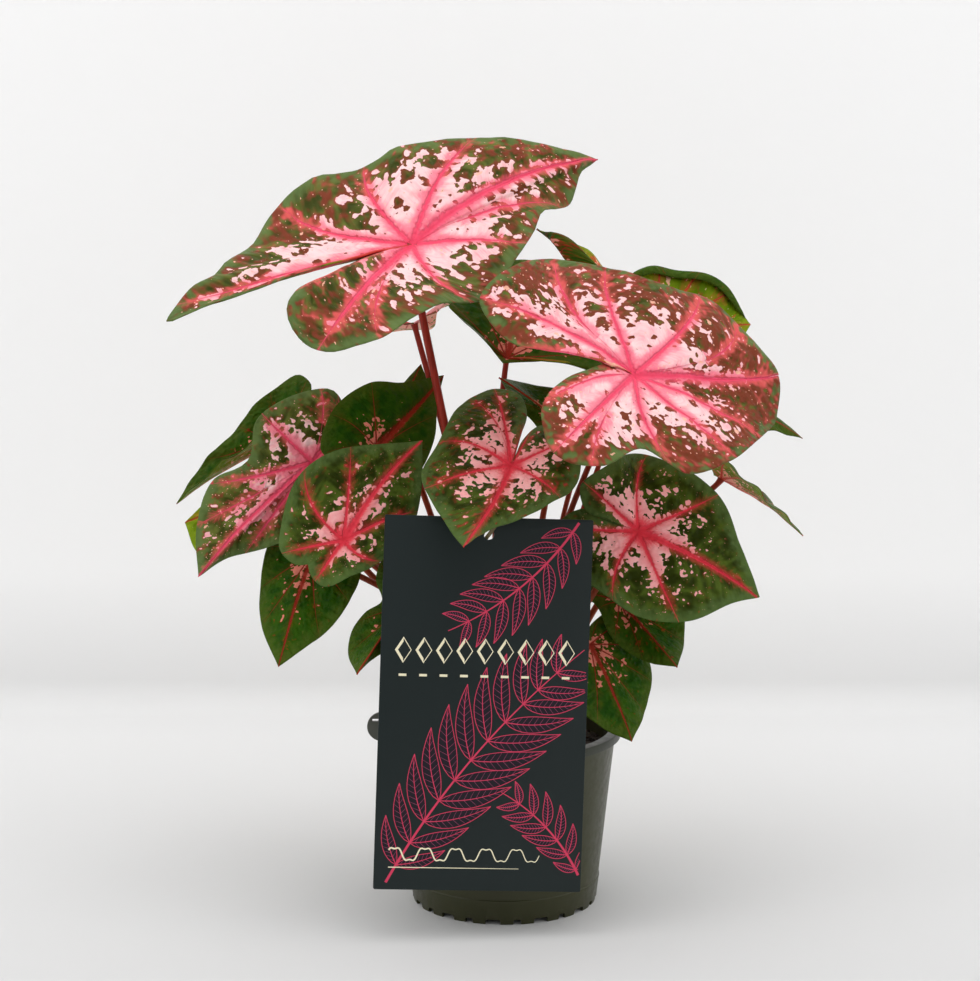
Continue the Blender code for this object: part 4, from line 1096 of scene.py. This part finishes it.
def skin_group():
    """The shader group of a blade's skin, from the masks that each blade carries."""
    group = bpy.data.node_groups.new("caladium_skin", "ShaderNodeTree")
    for label in SKIN_COLOURS:
        group.interface.new_socket(name=label, in_out="INPUT", socket_type="NodeSocketColor")
    for label, value in SKIN_AMOUNTS.items():
        socket = group.interface.new_socket(name=label, in_out="INPUT",
                                            socket_type="NodeSocketFloat")
        socket.default_value = value
    for label, kind in (("Color", "NodeSocketColor"), ("Height", "NodeSocketFloat"),
                        ("Roughness", "NodeSocketFloat")):
        group.interface.new_socket(name=label, in_out="OUTPUT", socket_type=kind)
    given = group.nodes.new("NodeGroupInput").outputs
    result = group.nodes.new("NodeGroupOutput").inputs

    def mask(label):
        return new_node(group, "ShaderNodeAttribute", attribute_name=label).outputs["Fac"]

    def stretched(map_name, across, out):
        place = new_node(group, "ShaderNodeUVMap", uv_map=map_name).outputs["UV"]
        scaled = new_node(group, "ShaderNodeMapping", {"Vector": place, "Scale": (across, out, 1)})
        return scaled.outputs["Vector"]

    def times(first, second):
        return maths(group, "MULTIPLY", first, second)

    def centred(value, amount):
        return times(maths(group, "SUBTRACT", value, 0.5), amount)

    def added(*values):
        total = values[0]
        for value in values[1:]:
            total = maths(group, "ADD", total, value)
        return total

    flat = stretched("flat", 1, 1)
    rib, pale, rim, off, herring = (mask(label) for label in ("rib", "pale", "rim", "off", "herring"))
    split_polar = new_node(group, "ShaderNodeSeparateXYZ", {0: stretched("polar", 1, 1)})
    out_share = split_polar.outputs["Y"]

    blotch = noise_map(group, flat, 7.0, 1.5, 0.45)
    cells = noise_map(group, flat, 13.0, 1.0, 0.4)
    lobes = noise_map(group, flat, 25.0, 0.0)
    teeth = noise_map(group, flat, 60.0, 1.0)
    streaks = noise_map(group, stretched("polar", 34, 3.5), 1.0, 2.0, 0.5)
    hairs = noise_map(group, stretched("polar", 110, 9), 1.0, 2.0, 0.6)
    dashes = noise_map(group, stretched("polar", 64, 7), 1.0, 1.0, 0.5)
    centre = ramp(group, out_share, 0.08, 0.36, 1.0, 0.0)
    near = ramp(group, added(off, centred(hairs, 3.5), centred(cells, 5.0)), 0.3, 7.0, 1.0, 0.0)

    # Side veins that leave each rib slantwise, as broad shallow swells and as fine barbs
    def slanting(along, away):
        place = {"X": times(herring, along), "Y": times(off, away),
                 "Z": times(split_polar.outputs["X"], 3.0)}
        return new_node(group, "ShaderNodeCombineXYZ", place).outputs["Vector"]

    barbs = noise_map(group, slanting(0.9, 0.16), 1.0, 2.0, 0.6)
    bands = noise_map(group, slanting(0.3, 0.06), 1.0, 1.0, 0.5)
    row = maths(group, "SINE", added(times(herring, 1.1), centred(cells, 3.0)))
    swells = times(row, ramp(group, off, 0.5, 5.0))

    # Green ground, deeper in places, and greyer towards the margin, where a painted sheen stands for
    # the light that the margin catches at a grazing angle
    tone = ramp(group, added(blotch, centred(bands, 0.5), times(swells, 0.03)), 0.3, 0.7)
    ground = blend_colour(group, tone, given["Deep Green"], given["Green"])
    to_rim = ramp(group, added(rim, centred(cells, 9.0)), 0.5, 8.0, 1.0, 0.0)
    # Painted sheen along the margin: the ground turns grey green within a few millimetres of the edge
    ground = blend_colour(group, times(to_rim, 0.85), ground, given["Margin Sheen"])
    haze_field = added(mask("haze"), given["Haze Shift"], centred(streaks, 1.5), centred(cells, 2.4),
                       centred(lobes, 1.3), centred(blotch, 1.2),
                       times(times(near, 0.35), given["Glow"]), times(to_rim, -0.45),
                       times(ramp(group, pale, -0.05, 0.35), given["Glow"]))
    haze_amount = ramp(group, haze_field, 0.1, 0.9, 0.0, 0.97)
    glow = added(times(near, 0.8), centred(blotch, 1.6), centred(bands, 1.6), centred(lobes, 1.0))
    glow = ramp(group, glow, 0.0, 0.9)
    haze_colour = blend_colour(group, glow, given["Haze"], given["Haze Glow"])
    ground = blend_colour(group, haze_amount, ground, haze_colour)
    red_edge = added(times(near, 0.9), centred(barbs, 1.2))
    red_edge = times(times(ramp(group, red_edge, 0.4, 1.1), given["Glow"]), 0.6)
    ground = blend_colour(group, red_edge, ground, given["Haze Glow"])

    # Pale patches with round-lobed edges and islands of the ground in them
    field = added(times(pale, 2.2), centred(blotch, 3.0), centred(cells, 2.3),
                  centred(streaks, 0.9), centred(bands, 1.2), centred(lobes, 1.7),
                  centred(dashes, 0.5), centred(teeth, 0.5), times(centre, 0.3),
                  times(to_rim, -0.5))
    patch = ramp(group, field, 0.0, 0.06)
    tint = added(times(near, 0.8), times(centre, 0.35), centred(blotch, 1.3), centred(barbs, 0.9))
    tint = times(ramp(group, tint, -0.15, 0.8, 0.08, 1.0), given["Tint"])
    patch_colour = blend_colour(group, tint, given["Patch"], given["Patch Tint"])
    colour = blend_colour(group, patch, ground, patch_colour)

    # Flecks and specks scattered over the green, and dark dots in the patches
    def flecks(vector, scale, size, share):
        cell = new_node(group, "ShaderNodeTexVoronoi", {"Scale": scale, "Vector": vector})
        spot = added(cell.outputs["Distance"], centred(teeth, 0.3))
        tones = new_node(group, "ShaderNodeSeparateColor", {0: cell.outputs["Color"]})
        chosen = ramp(group, tones.outputs["Red"], share, share + 0.02, 1.0, 0.0)
        radius = added(times(tones.outputs["Green"], size), size * 0.4)
        dot = ramp(group, maths(group, "SUBTRACT", spot, radius), -0.03, 0.02, 1.0, 0.0)
        return times(dot, chosen)

    inside = ramp(group, rim, 1.5, 4.0)
    speck = maths(group, "MAXIMUM", flecks(flat, 46.0, 0.2, 0.24),
                  flecks(stretched("polar", 72, 13), 1.0, 0.2, 0.16))
    speck = times(times(speck, inside), times(given["Specks"], 0.85))
    colour = blend_colour(group, speck, colour, given["Fleck"])
    dots = times(times(flecks(flat, 34.0, 0.14, 0.16), patch), ramp(group, centre, 0.2, 0.8, 0.9, 0.0))
    colour = blend_colour(group, dots, colour, given["Haze"])

    # Ribs, with their colour bleeding out along fine hairs
    frayed = added(rib, centred(barbs, 4.5), centred(teeth, 0.7))
    bleed = times(ramp(group, frayed, 0.6, 3.4, 1.0, 0.0), given["Glow"])
    colour = blend_colour(group, times(bleed, 0.55), colour, given["Rib"])
    core = ramp(group, added(rib, centred(barbs, 1.6), centred(teeth, 0.4)), 0.55, 1.3, 1.0, 0.0)
    colour = blend_colour(group, times(core, 0.92), colour, given["Rib"])
    heart = maths(group, "SUBTRACT", added(out_share, centred(hairs, 0.16), centred(teeth, 0.08)),
                  given["Heart"])
    heart = ramp(group, heart, -0.07, 0.05, 0.9, 0.0)
    colour = blend_colour(group, heart, colour, given["Rib"])
    line = ramp(group, rib, 0.0, 0.7, 0.5, 0.0)
    eye = ramp(group, out_share, 0.0, 0.12, 0.7, 0.0)
    colour = blend_colour(group, maths(group, "MAXIMUM", line, eye), colour, given["Rib Centre"])
    group.links.new(colour, result["Color"])

    # Relief: sunken ribs and side veins, small puckers, and a fine grain
    relief = added(times(core, -0.5), times(swells, 0.16), times(cells, 0.9), times(lobes, 0.5),
                   times(teeth, 0.2))
    group.links.new(relief, result["Height"])
    group.links.new(ramp(group, cells, 0.2, 0.8, 0.42, 0.55), result["Roughness"])
    return group


skin = skin_group()

# How light passes through a blade
LEAF_FLESH = {"Specular IOR Level": 0.07, "Subsurface Weight": 0.1,
              "Subsurface Radius": (1.0, 0.8, 0.4), "Subsurface Scale": 0.0012}

# Colours of each look in the order of SKIN_COLOURS, and its strengths; the third colour, the margin's
# grey green, is a painted sheen
LOOK_COLOURS = {
    "crown": ((103, 110, 46), (55, 62, 12), (93, 114, 63), (122, 56, 36), (214, 88, 86),
              (254, 212, 212), (244, 136, 152), (242, 86, 116), (226, 52, 84), (246, 184, 160)),
    "middle": ((78, 97, 28), (38, 48, 0), (84, 107, 55), (104, 48, 24), (188, 60, 54),
               (255, 190, 190), (244, 124, 130), (234, 64, 80), (204, 38, 52), (246, 174, 148)),
    "bright": ((122, 146, 14), (92, 124, 2), (126, 150, 24), (150, 76, 30), (204, 84, 50),
               (248, 200, 168), (232, 130, 96), (208, 82, 54), (186, 60, 40), (236, 220, 150)),
    "low": ((48, 84, 2), (26, 68, 0), (68, 88, 22), (92, 48, 8), (150, 50, 24),
            (234, 150, 132), (206, 92, 72), (150, 44, 28), (138, 34, 22), (190, 130, 84)),
}
LOOKS = {look: {label: srgb(*colour) for label, colour in zip(SKIN_COLOURS, colours)}
         for look, colours in LOOK_COLOURS.items()}
LOOK_AMOUNTS = {
    "crown": {"Glow": 1.0, "Tint": 1.0, "Specks": 1.0, "Heart": 0.07},
    "middle": {"Glow": 0.75, "Tint": 0.5, "Specks": 0.4, "Heart": 0.17},
    "bright": {"Glow": 0.5, "Tint": 0.5, "Specks": 1.0, "Heart": 0.05},
    "low": {"Glow": 0.14, "Tint": 0.4, "Specks": 0.06, "Heart": 0.05},
}
UNDER_AMOUNTS = {"Haze Shift": -0.2, "Glow": 0.4, "Tint": 0.6}


def leaf_finish(name, colours, amounts):
    finish, shader = new_material(name, colours["Green"], 0.5)
    tree = finish.node_tree
    inputs = {label: (*colour, 1.0) for label, colour in colours.items()}
    group = new_node(tree, "ShaderNodeGroup", {**inputs, **amounts}, node_tree=skin)
    tree.links.new(group.outputs["Color"], shader.inputs["Base Color"])
    tree.links.new(group.outputs["Roughness"], shader.inputs["Roughness"])
    bump(tree, shader, group.outputs["Height"], 0.0011)
    for label, value in LEAF_FLESH.items():
        shader.inputs[label].default_value = value
    return finish


def paler(colour, share, towards):
    return tuple(part + (other - part) * share for part, other in zip(colour, towards))


finishes = {}
for look, colours in LOOKS.items():
    under = {label: paler(colour, 0.75, LOOKS["bright"][label]) for label, colour in colours.items()}
    finishes[look] = (
        leaf_finish("leaf_upper_" + look, colours, LOOK_AMOUNTS[look]),
        leaf_finish("leaf_under_" + look, under, UNDER_AMOUNTS))
finishes["turned"] = (finishes["low"][0], finishes["bright"][0])
for index, (name, leaf) in enumerate(LEAVES.items()):
    make_leaf(name, leaf, index, finishes[leaf["look"]])


# Leaf stalks: smooth round maroon stalks, one to a leaf, that rise out of the peat from the tuber
# and bend over to the underside of the blade, where they widen into the ribs.
TUBER_TOP = 56.3
CLEAR_OF_SOIL = 87.0
BLADE = 0.8
STALK_GAP = 0.3
INTO_BLADE = 0.35
stalk_finish, stalk_shader = new_material("stalk", srgb(120, 42, 26), 0.4)
tree = stalk_finish.node_tree
where = object_place(tree)
along_stalk = new_node(tree, "ShaderNodeMapping", {"Vector": where, "Scale": (1.0, 1.0, 0.12)})
grain = noise_map(tree, along_stalk.outputs["Vector"], 900.0, 3.0)
height = new_node(tree, "ShaderNodeSeparateXYZ", {0: where})
up = ramp(tree, height.outputs["Z"], 0.08, 0.26)
stalk_colour = blend_colour(tree, up, srgb(156, 84, 48), srgb(152, 44, 30))
stalk_colour = blend_colour(tree, ramp(tree, grain, 0.4, 0.7, 0.0, 0.45), stalk_colour,
                            srgb(96, 26, 16))
stalk_shader.inputs["Specular IOR Level"].default_value = 0.2
tree.links.new(stalk_colour, stalk_shader.inputs["Base Color"])
bump(tree, stalk_shader, grain, 0.0003)


def stalk_route(leaf):
    """Up out of the tuber and the peat, then in one bend to the underside of the blade."""
    turn = math.radians(leaf["foot"][1])
    x, y = leaf["foot"][0] * math.cos(turn), leaf["foot"][0] * math.sin(turn)
    normal = leaf_normal(margin_line(leaf, 50))
    end = leaf["joint"] - normal * (BLADE + STALK_GAP)
    start = np.array((x, y, CLEAR_OF_SOIL))
    span = np.linalg.norm(end - start)
    first = np.array((0.0, 0.0, 0.9 * span))
    last = normal * min(0.4 * span, leaf["bend"])
    sway = np.array((*leaf["sway"], 0.0))
    route = [np.array((x, y, TUBER_TOP))]
    for share in np.linspace(0, 1, 40):
        s2 = share * share
        s3 = s2 * share
        route.append((2 * s3 - 3 * s2 + 1) * start + (s3 - 2 * s2 + share) * first
                     + (3 * s2 - 2 * s3) * end + (s3 - s2) * last
                     + sway * math.sin(math.pi * share) ** 2)
    route.append(leaf["joint"] - normal * INTO_BLADE)
    return route


def stalk_swelling(share):
    """A stalk is thickest at its foot, tapers upwards, and widens again under the blade."""
    return 1.12 - 0.22 * share + 0.35 * max(0.0, share - 0.93) / 0.07


for name, leaf in LEAVES.items():
    stalk = tube("leafstalk_" + name, stalk_route(leaf), leaf["stalk"], 5, stalk_swelling)
    coat(stalk, stalk_finish)
    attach(stalk, "root")
    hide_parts("stalk_" + name)
